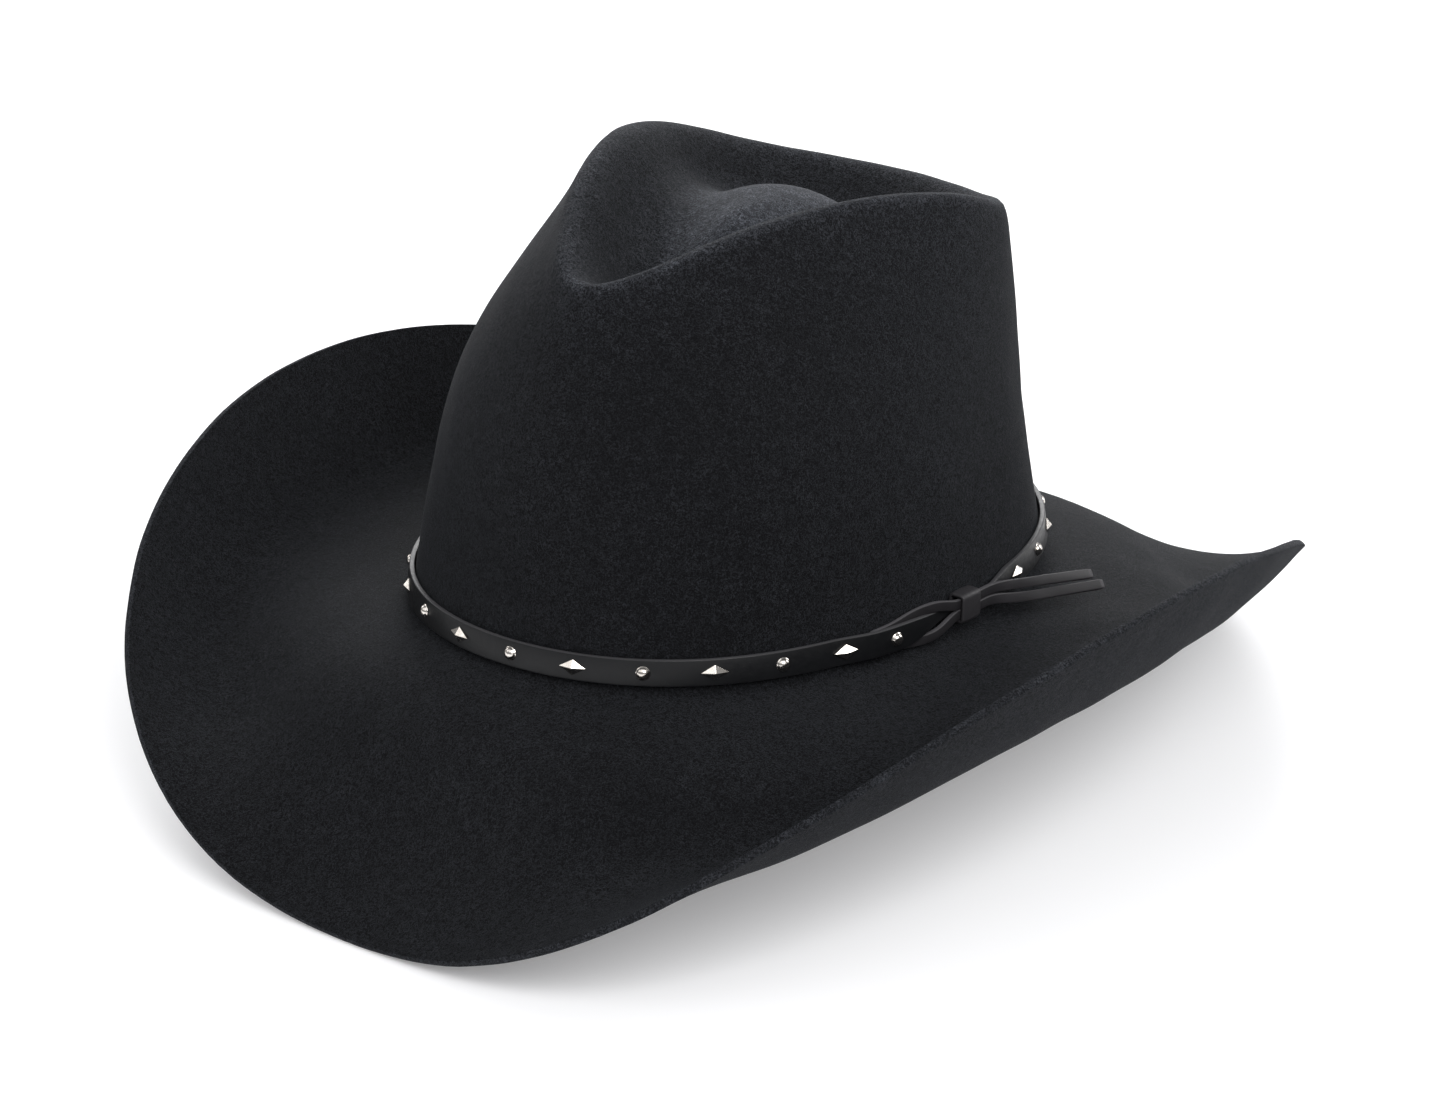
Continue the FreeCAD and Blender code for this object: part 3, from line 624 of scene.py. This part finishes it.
# Heights are over the middle of the band; insets count inward from the felt's outside.
SWEATBAND_BOTTOM = -7.2
SWEATBAND_TOP = 38.0
SWEATBAND_THICKNESS = 1.1
SWEATBAND_BACK = FELT_THICKNESS + 1.05          # leaves room for the lining's hem
SWEATBAND_FACE = SWEATBAND_BACK + SWEATBAND_THICKNESS
REED_RADIUS = 1.25
BOW_HEIGHT = 8.0
LINING_BOTTOM = 30.0
LINING_TOP = 72.0
LINING_THICKNESS = 0.35
LINING_BACK = FELT_THICKNESS + 0.3
WELT_RADIUS = 0.8
WELT_HEIGHT = LINING_TOP + WELT_RADIUS
TIP_RISE = 2.5
BOW_ANGLES = 2 * pi * np.arange(18) / 18


def sweatband():
    """Leather band between the head and the felt, its free top edge a little wavy."""
    slack = 0.45 * (1 + smooth_noise(wall_ring(SWEATBAND_TOP, 0.0), 60.0, 8))
    outer, inner = [], []
    for height in np.linspace(SWEATBAND_BOTTOM, SWEATBAND_TOP, 16):
        free = np.clip((height - 16.0) / 22.0, 0, 1) ** 2
        outer.append(wall_ring(height, SWEATBAND_BACK + slack * free))
        inner.append(wall_ring(height, SWEATBAND_FACE + slack * free))
    top_edge = [wall_ring(SWEATBAND_TOP + 0.25, SWEATBAND_BACK + slack + SWEATBAND_THICKNESS * part)
                for part in (0.25, 0.75)]
    bottom_edge = [wall_ring(SWEATBAND_BOTTOM - 0.2, SWEATBAND_BACK + SWEATBAND_THICKNESS * part)
                   for part in (0.75, 0.25)]
    ring_piece("sweatband_leather", outer + top_edge + inner[::-1] + bottom_edge, SWEAT_LEATHER, "hat",
               slot="sweat_leather", replaces=["sweatband"])


def stitch(middle, along, out, length=2.0, radius=0.22):
    """One short stitch, lying on the leather and dipping in at both ends."""
    parts = np.linspace(-1, 1, 7)
    centres = middle + np.outer(parts, along) * length / 2 - np.outer(parts ** 4 * radius * 1.4, out)
    return tube(centres, radius * (1 - 0.35 * parts ** 4), 6, closed=False, lift=out)


def sweatband_stitching():
    """Row of stitches that holds the reed tape to the sweatband, and the back seam."""
    inset = SWEATBAND_FACE + 0.1
    ring = wall_ring(SWEATBAND_BOTTOM + 2.9, inset)
    length = np.linalg.norm(np.roll(ring, -1, 0) - ring, axis=1)
    place = np.concatenate([[0], np.cumsum(length)])
    count = int(place[-1] / 3.1)
    closed_ring = np.concatenate([ring, ring[:1]])
    inward = -head_normal(COLUMN_ANGLES)
    closed_inward = np.concatenate([inward, inward[:1]])
    parts = []
    for arc in (np.arange(count) + 0.5) * place[-1] / count:
        middle = np.array([np.interp(arc, place, closed_ring[:, k]) for k in range(3)])
        ahead = np.array([np.interp((arc + 1) % place[-1], place, closed_ring[:, k]) for k in range(3)])
        out = np.array([np.interp(arc, place, closed_inward[:, k]) for k in range(3)])
        parts.append(stitch(middle, unit(ahead - middle), unit(out)))
    for height in np.arange(14.0, 36.0, 2.6):
        for side in (-1.6, 1.6):
            wall = wall_ring(height, inset + 0.35 * np.clip((height - 16) / 22, 0, 1) ** 2)
            middle = wall[COLUMNS // 2] + np.array([side, 0.0, 0.0])
            parts.append(stitch(middle, UP, np.array([0.0, -1.0, 0.0]), 1.8))
    points, faces = joined(parts)
    add_piece("sweatband_stitching", points, faces, THREAD, "hat", slot="reed_tape")


def sweatband_reed():
    """Taped reed along the sweatband's lower edge."""
    ring = wall_ring(SWEATBAND_BOTTOM - REED_RADIUS, SWEATBAND_BACK + SWEATBAND_THICKNESS / 2)
    points, faces = tube(ring, REED_RADIUS - 0.05, 14, groove=tape_ridges)
    add_piece("sweatband_reed_tape", points, faces, TAPE, "hat", slot="reed_tape",
              replaces=["sweatband_reed"])


def tape_ridges(angle, along):
    """Share of the radius, with the tape's folds round it and its stitches along it."""
    return 1.0 + 0.05 * np.cos(3 * angle + 0.7) + 0.015 * np.sin(along * 2 * pi * 190)


def sweatband_bow():
    """Small flat ribbon bow at the back of the sweatband: two loops, two tails and a knot."""
    back = wall_ring(BOW_HEIGHT, SWEATBAND_FACE)[COLUMNS // 2, 1]
    parts = []
    for side in (-1, 1):
        parts.append(bow_leaf(side, back, 0.75, 3.3, 9.4, 0.0))
        parts.append(bow_leaf(side, back, 1.55, 2.5, 8.2, 0.35))
    parts.append(bow_knot(back))
    points, faces = joined(parts)
    add_piece("sweatband_ribbon_bow", points, faces, RIBBON, "hat", slot="bow_ribbon",
              replaces=["sweatband_bow"])


def bow_leaf(side, back, stand, half_height, reach, droop):
    """One flattened leaf of the bow, gathered at the knot and puffed near its end."""
    lengths = np.linspace(0.0, 1.0, 15)
    rows = []
    for part in lengths:
        wide = half_height * (0.42 + 0.58 * sin(min(part * 1.25, 1.0) * pi / 2))
        puff = 0.55 * sin(pi * min(part * 1.05, 1.0)) + 0.18
        if part > 0.9:
            wide *= 1 - 0.35 * (part - 0.9) / 0.1
        x = side * reach * part
        centre = np.array([x, back - stand, BOW_HEIGHT - droop * part * 3])
        ripple = 1 + 0.10 * np.sin(5 * BOW_ANGLES) * (1 - part)
        puffed = -puff * np.sin(BOW_ANGLES) * ripple
        rows.append(centre + np.stack([0 * BOW_ANGLES, puffed, wide * np.cos(BOW_ANGLES)], 1))
    return capped(rows)


def bow_knot(back):
    """Rounded wrap over the bow's middle."""
    rows = []
    for part in np.linspace(-1, 1, 9):
        round_off = (1 - abs(part) ** 3.5 * 0.45)
        ring = np.stack([0 * BOW_ANGLES, -1.15 * np.sin(BOW_ANGLES), 2.0 * np.cos(BOW_ANGLES)], 1) * round_off
        rows.append(np.array([1.8 * part, back - 1.25, BOW_HEIGHT]) + ring)
    return capped(rows)


def lining_side():
    """Satin strip round the inside of the crown, creased, its hem behind the sweatband."""
    halfway = (LINING_BOTTOM + LINING_TOP) / 2
    base = wall_ring(halfway, 0.0)
    outer, inner = [], []
    for height in np.linspace(LINING_BOTTOM, LINING_TOP, 22):
        part = (height - LINING_BOTTOM) / (LINING_TOP - LINING_BOTTOM)
        creases = 0.5 * (1 + smooth_noise(base * np.array([1, 1, 0]) + UP * height * 0.25, 21.0, 12))
        pucker = 0.25 * (1 + np.cos(COLUMN_ANGLES * 90)) * part ** 6
        slack = np.clip(creases, 0, 1.2) * sin(pi * part) * 0.8 + pucker
        outer.append(wall_ring(height, LINING_BACK + slack))
        inner.append(wall_ring(height, LINING_BACK + LINING_THICKNESS + slack))
    side = ring_piece("lining_side_satin", outer + inner[::-1], SATIN, "hat", slot="lining_satin",
                      replaces=["lining_side"])
    middle_ring = wall_ring(halfway, LINING_BACK)


def lining_tip():
    """Oval of satin over the head, gathered where it meets the piping."""
    rim = wall_ring(WELT_HEIGHT, LINING_BACK + 2 * WELT_RADIUS)
    top, under = [], []
    for reach in np.linspace(1.0, 0.02, 34):
        folds = 0.35 * np.cos(COLUMN_ANGLES * 45 + 1.0) * max(0, (reach - 0.72) / 0.28) ** 2
        spots = rim * np.array([reach, reach, 1.0]) + UP * TIP_RISE * (1 - reach * reach)
        spots = spots + UP * by_column(folds + 0.35 * smooth_noise(spots, 34.0, 13) * (1 - reach))
        top.append(spots)
        under.append(spots - UP * LINING_THICKNESS)
    rows = top[::-1] + under
    points = np.concatenate(rows + [top[-1].mean(0)[None], under[-1].mean(0)[None]])
    faces = band_faces(len(rows), COLUMNS)
    faces += fan_faces(0, COLUMNS, len(points) - 2)
    faces += fan_faces((len(rows) - 1) * COLUMNS, COLUMNS, len(points) - 1)
    tip = add_piece("lining_tip_satin", points, faces, SATIN, "hat", slot="lining_satin",
                    replaces=["lining_tip"])


def lining_welt():
    """Twisted piping between the lining's side and its tip."""
    ring = wall_ring(WELT_HEIGHT, LINING_BACK + WELT_RADIUS)
    points, faces = tube(ring, WELT_RADIUS - 0.05, 10, groove=cord_twist)
    add_piece("lining_welt_piping", points, faces, PIPING, "hat", slot="lining_piping",
              replaces=["lining_welt"])


def cord_twist(angle, along):
    """Share of the radius, with the two strands of a twisted cord."""
    return 1.0 + 0.07 * np.cos(2 * angle + along * 2 * pi * 150)


# ---------------------------------------------------------------- band, tie and keeper

STRAP_HEIGHT = 7.7
STRAP_THICKNESS = 1.6
STRAP_MIDDLE = 0.1            # height of the strap's middle at the wearer's left
STRAP_FRONT_DROP = 1.3        # the strap sits lower at the front and higher at the back
STRAP_RIGHT_DROP = 0.5        # lower again on the side away from the tie
STRAP_GAP = 0.35              # out from the felt's oval at the front
STRAP_BACK_TUCK = 0.5         # closer at the back, where the crown slopes more
STRAP_LEAN = 0.1              # the strap's inward slope along the crown
STRAP_BACK_LEAN = 0.06        # more of it at the back
STRAP_LIFT = 1.9              # gap where the laces pass behind the strap
TONGUE_THICKNESS = 1.2
LACE_WIDTH = 2.9
LACE_THICKNESS = 1.5
FELT_SIDE = 81.3              # the felt's outside beside the tie
KEEPER_GAP = 0.5
IN_KEEPER_HEIGHT = 2.1
STUD_PITCHES = 30
FIRST_STUD_ARC = -75.6        # along the strap from the front
UNDER_TIE = (11, 12)          # pitches with no stud
LAST_STUD_SHIFT = 0.13        # the stud beside the tie sits closer to its neighbour


def strap_angles(steps):
    """Angles of places on the strap that are counted in stud pitches."""
    fine = np.linspace(0, 2 * pi, 3601)
    line = head_oval(fine, STRAP_GAP + STRAP_THICKNESS / 2)
    lengths = np.concatenate([[0], np.cumsum(np.linalg.norm(np.diff(line, axis=0), axis=1))])
    arcs = (FIRST_STUD_ARC + np.asarray(steps) * lengths[-1] / STUD_PITCHES) % lengths[-1]
    return np.interp(arcs, lengths, fine)


def eased(table, position):
    """Values between the two table rows on either side, eased at both rows."""
    for first, second in zip(table, table[1:]):
        if position <= second[0]:
            part = (position - first[0]) / (second[0] - first[0])
            part = part * part * (3 - 2 * part)
            return [a + (b - a) * part for a, b in zip(first[1:], second[1:])]
    return list(table[-1][1:])


STRAP_STATIONS = [
    # stud pitches, width, thickness, height before the drops, gap to the felt, share of the lean
    (11.24, LACE_WIDTH, TONGUE_THICKNESS, IN_KEEPER_HEIGHT, STRAP_LIFT, 0),
    (11.74, LACE_WIDTH, TONGUE_THICKNESS, IN_KEEPER_HEIGHT, STRAP_LIFT + 0.4, 0),
    (12.85, STRAP_HEIGHT, STRAP_THICKNESS, STRAP_MIDDLE, STRAP_GAP, 1),
    (13.00, STRAP_HEIGHT, STRAP_THICKNESS, STRAP_MIDDLE, STRAP_GAP, 1),
    (38.80, STRAP_HEIGHT, STRAP_THICKNESS, STRAP_MIDDLE, STRAP_GAP, 1),
    (39.60, STRAP_HEIGHT, STRAP_THICKNESS, STRAP_MIDDLE, STRAP_LIFT, 0),
    (40.05, STRAP_HEIGHT, STRAP_THICKNESS, STRAP_MIDDLE, STRAP_LIFT, 0),
    (40.95, LACE_WIDTH, TONGUE_THICKNESS, IN_KEEPER_HEIGHT, STRAP_LIFT, 0),
    (41.18, LACE_WIDTH, TONGUE_THICKNESS, IN_KEEPER_HEIGHT, STRAP_LIFT, 0),
]


def strap_sections(steps):
    """Middles, sizes and axes (up and outward) of the strap's section at places on it."""
    theta = strap_angles(steps)
    widths, thicknesses, heights, gaps, shares = np.array([eased(STRAP_STATIONS, step) for step in steps]).T
    back = (1 - np.cos(theta)) / 2
    heights = heights - STRAP_FRONT_DROP * np.cos(theta) - STRAP_RIGHT_DROP * (1 - np.sin(theta))
    gaps = gaps - STRAP_BACK_TUCK * back * shares
    lean = by_column((STRAP_LEAN + STRAP_BACK_LEAN * back) * shares)
    centres = head_oval(theta, gaps + thicknesses / 2, heights)
    out = head_normal(theta)
    return centres, widths, thicknesses, unit(UP - out * lean), unit(out + UP * lean)


def hat_band():
    """Leather strap round the crown, a narrow skived tongue at each end under the keeper."""
    steps = np.concatenate([np.linspace(11.24, 13.0, 40), np.linspace(13.0, 38.8, 560)[1:],
                            np.linspace(38.8, 41.18, 60)[1:]])
    centres, widths, thicknesses, across, out = strap_sections(steps)
    points, faces, cut = swept_strip(centres, across, out, widths, thicknesses)
    add_piece("hat_band_strap", points, faces, BAND_LEATHER, "band", slot="band_leather",
              replaces=["hat_band"], attribute=("cut", cut))


def spline_through(points, count):
    """Even samples of a natural cubic curve through the points, with its parameters."""
    points = np.array(points, float)
    knots = np.concatenate([[0], np.cumsum(np.linalg.norm(np.diff(points, axis=0), axis=1))])
    gaps = np.diff(knots)
    size = len(points)
    system = np.eye(size)
    right = np.zeros((size, 3))
    for i in range(1, size - 1):
        system[i, i - 1:i + 2] = [gaps[i - 1], 2 * (gaps[i - 1] + gaps[i]), gaps[i]]
        right[i] = 6 * ((points[i + 1] - points[i]) / gaps[i] - (points[i] - points[i - 1]) / gaps[i - 1])
    bend = np.linalg.solve(system, right)
    at = np.linspace(0, knots[-1], count)
    cell = np.clip(np.searchsorted(knots, at, "right") - 1, 0, size - 2)
    gap = gaps[cell][:, None]
    ahead = (knots[cell + 1] - at)[:, None]
    behind = (at - knots[cell])[:, None]
    curve = (bend[cell] * ahead ** 3 + bend[cell + 1] * behind ** 3) / (6 * gap)
    curve += (points[cell] / gap - bend[cell] * gap / 6) * ahead
    curve += (points[cell + 1] / gap - bend[cell + 1] * gap / 6) * behind
    return curve, at, knots


IN_KEEPER = FELT_SIDE + 4.1   # laces' middle inside the keeper, out from the hat's middle
BEHIND_STRAP = STRAP_LIFT - 0.3 - TONGUE_THICKNESS / 2


def beside_band(along, outward, height):
    """Coordinates beside the band on the wearer's left, this far behind the hat's middle."""
    return head_oval(np.array([acos(-along / HEAD_HALF_LENGTH)]), outward, height)[0]


def lace(name, node, stations):
    """Flat leather lace; each station is x, y, z, the roll of its flat face and its thickness."""
    centres, at, knots = spline_through([station[:3] for station in stations], 110)
    rolls = [(knot, *station[3:]) for knot, station in zip(knots, stations)]
    roll, thicknesses = np.array([eased(rolls, place) for place in at]).T
    roll = np.radians(roll)
    wish = np.stack([np.cos(roll), 0 * roll, np.sin(roll)], 1)
    along = unit(np.gradient(centres, axis=0))
    across = unit(np.cross(wish, along))
    out = unit(np.cross(along, across))
    points, faces, cut = swept_strip(centres, across, out, [LACE_WIDTH] * len(at), thicknesses, 0.3)
    add_piece(name, points, faces, TIE_LEATHER, "band", slot="band_leather", replaces=[node],
              attribute=("cut", cut))


def tie():
    """Two laces that come from behind the strap and pass through the keeper."""
    thin, full = TONGUE_THICKNESS, LACE_THICKNESS
    lace("tie_lace_upper_strip", "tie_lace_upper", [
        (*beside_band(-34.5, BEHIND_STRAP, 1.7), 0, thin),
        (*beside_band(-26.5, BEHIND_STRAP, 2.6), 0, thin),
        (81.3, -19.0, 4.3, 0, thin),
        (84.2, -11.0, 5.1, 0, full),
        (IN_KEEPER, -4.5, 3.8, 0, full),
        (IN_KEEPER, 1.0, 3.8, 0, full),
        (IN_KEEPER, 6.5, 3.8, 0, full),
        (IN_KEEPER, 12.0, 3.8, 0, full),
        (86.6, 22.0, 2.6, 15, full),
        (90.2, 35.9, 1.0, 30, full),
        (94.2, 51.5, -0.9, 40, full),
    ])
    lace("tie_lace_lower_strip", "tie_lace_lower", [
        (*beside_band(-34.5, BEHIND_STRAP, -1.6), 0, thin),
        (*beside_band(-26.5, BEHIND_STRAP, -2.9), 0, thin),
        (81.5, -19.0, -4.2, 0, thin),
        (84.3, -11.5, -2.8, 0, full),
        (IN_KEEPER, -4.5, 0.4, 0, full),
        (IN_KEEPER, 1.0, 0.4, 0, full),
        (IN_KEEPER, 6.5, 0.4, 0, full),
        (IN_KEEPER, 12.0, 0.4, 0, full),
        (87.5, 20.5, -0.9, 15, full),
        (92.8, 32.8, -1.6, 30, full),
        (99.2, 50.3, -2.5, 40, full),
    ])


def keeper():
    """Leather loop round both laces, its outside a little crowned and its mouths rounded."""
    wide, long, tall = 5.6, 8.5, 8.8
    room_out, room_up = 3.6, 6.8
    middle = np.array([FELT_SIDE + KEEPER_GAP + wide / 2, 1.0, IN_KEEPER_HEIGHT])
    rings, cut = [], []
    # share of the half length, how far the outside stands proud, how raw the leather looks
    half = [(0.0, 0.14, 0.45), (0.45, 0.10, 0.45), (0.86, 0.0, 0.45), (0.96, -0.10, 0.5), (1.0, -0.30, 0.5)]
    other_half = [(-place, proud, rawness) for place, proud, rawness in half[:0:-1]]
    for place, proud, rawness in other_half + half:
        outline = rounded_section(tall + 2 * proud, wide + 2 * proud, 1.5, 5)
        rings.append(keeper_ring(middle, outline, place * long / 2))
        cut.append(np.full(len(outline), rawness))
    for place in (1.0, 0.9, 0.5, 0.0, -0.5, -0.9, -1.0):
        outline = rounded_section(room_up, room_out, 0.35, 5)
        rings.append(keeper_ring(middle, outline, place * long / 2))
        cut.append(np.full(len(outline), 0.4))
    faces = band_faces(len(rings), len(rings[0]), closed_across=True)
    add_piece("keeper_loop", np.concatenate(rings), faces, TIE_LEATHER, "keeper", slot="keeper_leather",
              replaces=["keeper"], attribute=("cut", np.concatenate(cut)))


def keeper_ring(middle, outline, along):
    """The outline set square to the laces, this far along the keeper."""
    spots = np.stack([outline[:, 1], np.full(len(outline), along), outline[:, 0]], 1)
    return middle + spots


# ---------------------------------------------------------------- studs

def stud_place(step):
    """Origin and axes on the strap's face: X along the strap, Y up, Z outward."""
    centres, _, thicknesses, up, out = strap_sections([step if step > 12 else step + STUD_PITCHES])
    spot = centres[0] + out[0] * thicknesses[0] / 2
    return spot, np.stack([unit(np.cross(up[0], out[0])), up[0], out[0]])


def round_stud(name, node, step):
    """Domed head with a fine flange, pressed slightly into the leather."""
    spot, axes = stud_place(step)
    radius, rise, sides = 1.95, 1.5, 40
    shank, flange_rise = 0.55, 0.14
    outline = [(shank, -STRAP_THICKNESS), (shank, -0.1)]
    outline += [(radius * 1.03, -0.06), (radius * 1.08, 0.05), (radius * 1.03, 0.16)]
    for angle in np.linspace(0.12, pi / 2 - 0.12, 9):
        outline.append((radius * 0.93 * cos(angle), flange_rise + (rise - flange_rise) * sin(angle)))
    rings = []
    for reach, height in outline:
        angles = 2 * pi * np.arange(sides) / sides
        ring = np.stack([reach * np.cos(angles), reach * np.sin(angles), np.full(sides, height)], 1)
        rings.append(ring)
    points = np.concatenate(rings + [[[0, 0, rise]], [[0, 0, -STRAP_THICKNESS]]])
    faces = band_faces(len(rings), sides)
    faces += fan_faces((len(rings) - 1) * sides, sides, len(points) - 2)
    faces += fan_faces(0, sides, len(points) - 1)
    add_piece(name, spot + points @ axes, faces, NICKEL, "band", slot="stud_metal", replaces=[node])


def diamond_stud(name, node, step):
    """Four facets with slightly rounded ridges over a low rim."""
    spot, axes = stud_place(step)
    half_long, half_tall, rise, rim = 4.0, 2.3, 1.7, 0.4
    corners = np.array([[half_long, 0], [0, half_tall], [-half_long, 0], [0, -half_tall]])
    rings = []
    for scale, height in ((0.14, -STRAP_THICKNESS), (0.14, -0.02), (1.0, -0.02), (1.0, rim), (0.06, rise)):
        rings.append(np.column_stack([corners * scale, np.full(4, height)]))
    points, faces = capped(rings)
    piece = add_piece(name, spot + points @ axes, faces, NICKEL, "band", slot="stud_metal", replaces=[node])
    soften(piece, 0.08)


def soften(piece, radius):
    """Rounds every edge a little and keeps the facets flat."""
    bevel = piece.modifiers.new("soft_edges", "BEVEL")
    bevel.width = radius * MM
    bevel.segments = 3
    bevel.limit_method = "ANGLE"
    bevel.angle_limit = radians(12)
    bevel.harden_normals = True


def studs():
    """Round and diamond studs by turns, none where the tie covers the strap."""
    counts = [0, 0]
    for step in range(STUD_PITCHES):
        if step in UNDER_TIE:
            continue
        kind = step % 2
        counts[kind] += 1
        node = ("round_stud_%02d", "diamond_stud_%02d")[kind] % counts[kind]
        place = step - LAST_STUD_SHIFT if step + 1 in UNDER_TIE else step
        (round_stud, diamond_stud)[kind](node + "_head", node, place)


# ---------------------------------------------------------------- floor, light and camera

def floor():
    """Level ground at the frame's lowest plane, 12 m wide."""
    mesh = bpy.data.meshes.new("studio_floor")
    half = 6.0
    corners = [(-half, -half, 0), (half, -half, 0), (half, half, 0), (-half, half, 0)]
    mesh.from_pydata(corners, [], [(0, 1, 2, 3)])
    mesh.materials.append(floor_look())
    ground = bpy.data.objects.new("studio_floor", mesh)
    bpy.context.scene.collection.objects.link(ground)


CAMERA_RIGHT = np.array([0.78274, 0.62199, 0.02112])
CAMERA_UP = np.array([-0.24122, 0.27193, 0.93159])
CAMERA_BACK = np.array([0.57369, -0.73429, 0.36289])
CAMERA_DISTANCE = 1456.0


def camera():
    """Long lens at the wearer's front left, looking down by about 21 degrees."""
    data = bpy.data.cameras.new("camera")
    data.lens = 122.04
    data.sensor_width = 36.0
    data.shift_x = -0.00877
    data.shift_y = -0.00608
    view = bpy.data.objects.new("camera", data)
    bpy.context.scene.collection.objects.link(view)
    axes = HAT_AXES @ np.column_stack([CAMERA_RIGHT, CAMERA_UP, CAMERA_BACK])
    place = Matrix(axes.tolist()).to_4x4()
    place.translation = Vector(placed([CAMERA_BACK * CAMERA_DISTANCE])[0])
    view.matrix_world = place
    bpy.context.scene.camera = view


def softbox(name, azimuth, elevation, distance, size, power):
    """Square soft light aimed at the crown; azimuth 0 is behind the hat, 90 on the wearer's left."""
    data = bpy.data.lights.new(name, "AREA")
    data.shape = "SQUARE"
    data.size = size
    data.energy = power
    lamp = bpy.data.objects.new(name, data)
    bpy.context.scene.collection.objects.link(lamp)
    a, e = radians(azimuth), radians(elevation)
    away = Vector((sin(a) * cos(e), cos(a) * cos(e), sin(e)))
    lamp.location = Vector((0, 0, 0.08)) + away * distance
    lamp.rotation_euler = away.to_track_quat("Z", "Y").to_euler()


def lights():
    """Even pale surroundings and soft lights, which are named as the camera sees them."""
    world = bpy.data.worlds.new("studio")
    bpy.context.scene.world = world
    world.use_nodes = True
    backdrop = world.node_tree.nodes["Background"]
    backdrop.inputs["Color"].default_value = (0.97, 0.98, 1.0, 1.0)
    backdrop.inputs["Strength"].default_value = 0.28
    softbox("rear", -38, 20, 2.4, 1.2, 60)
    softbox("rear_right", 30, 25, 2.4, 1.2, 20)
    softbox("key", 115, 40, 2.4, 1.6, 44)
    softbox("front", 165, 50, 2.4, 2.0, 13)
    softbox("front_left", 218, 34, 2.4, 1.2, 5)
    softbox("left", -85, 25, 2.4, 1.2, 8)
    bpy.context.scene.view_settings.view_transform = "Standard"


felt_body()
sweatband()
sweatband_stitching()
sweatband_reed()
sweatband_bow()
lining_side()
lining_tip()
lining_welt()
hat_band()
tie()
keeper()
studs()
floor()
camera()
lights()
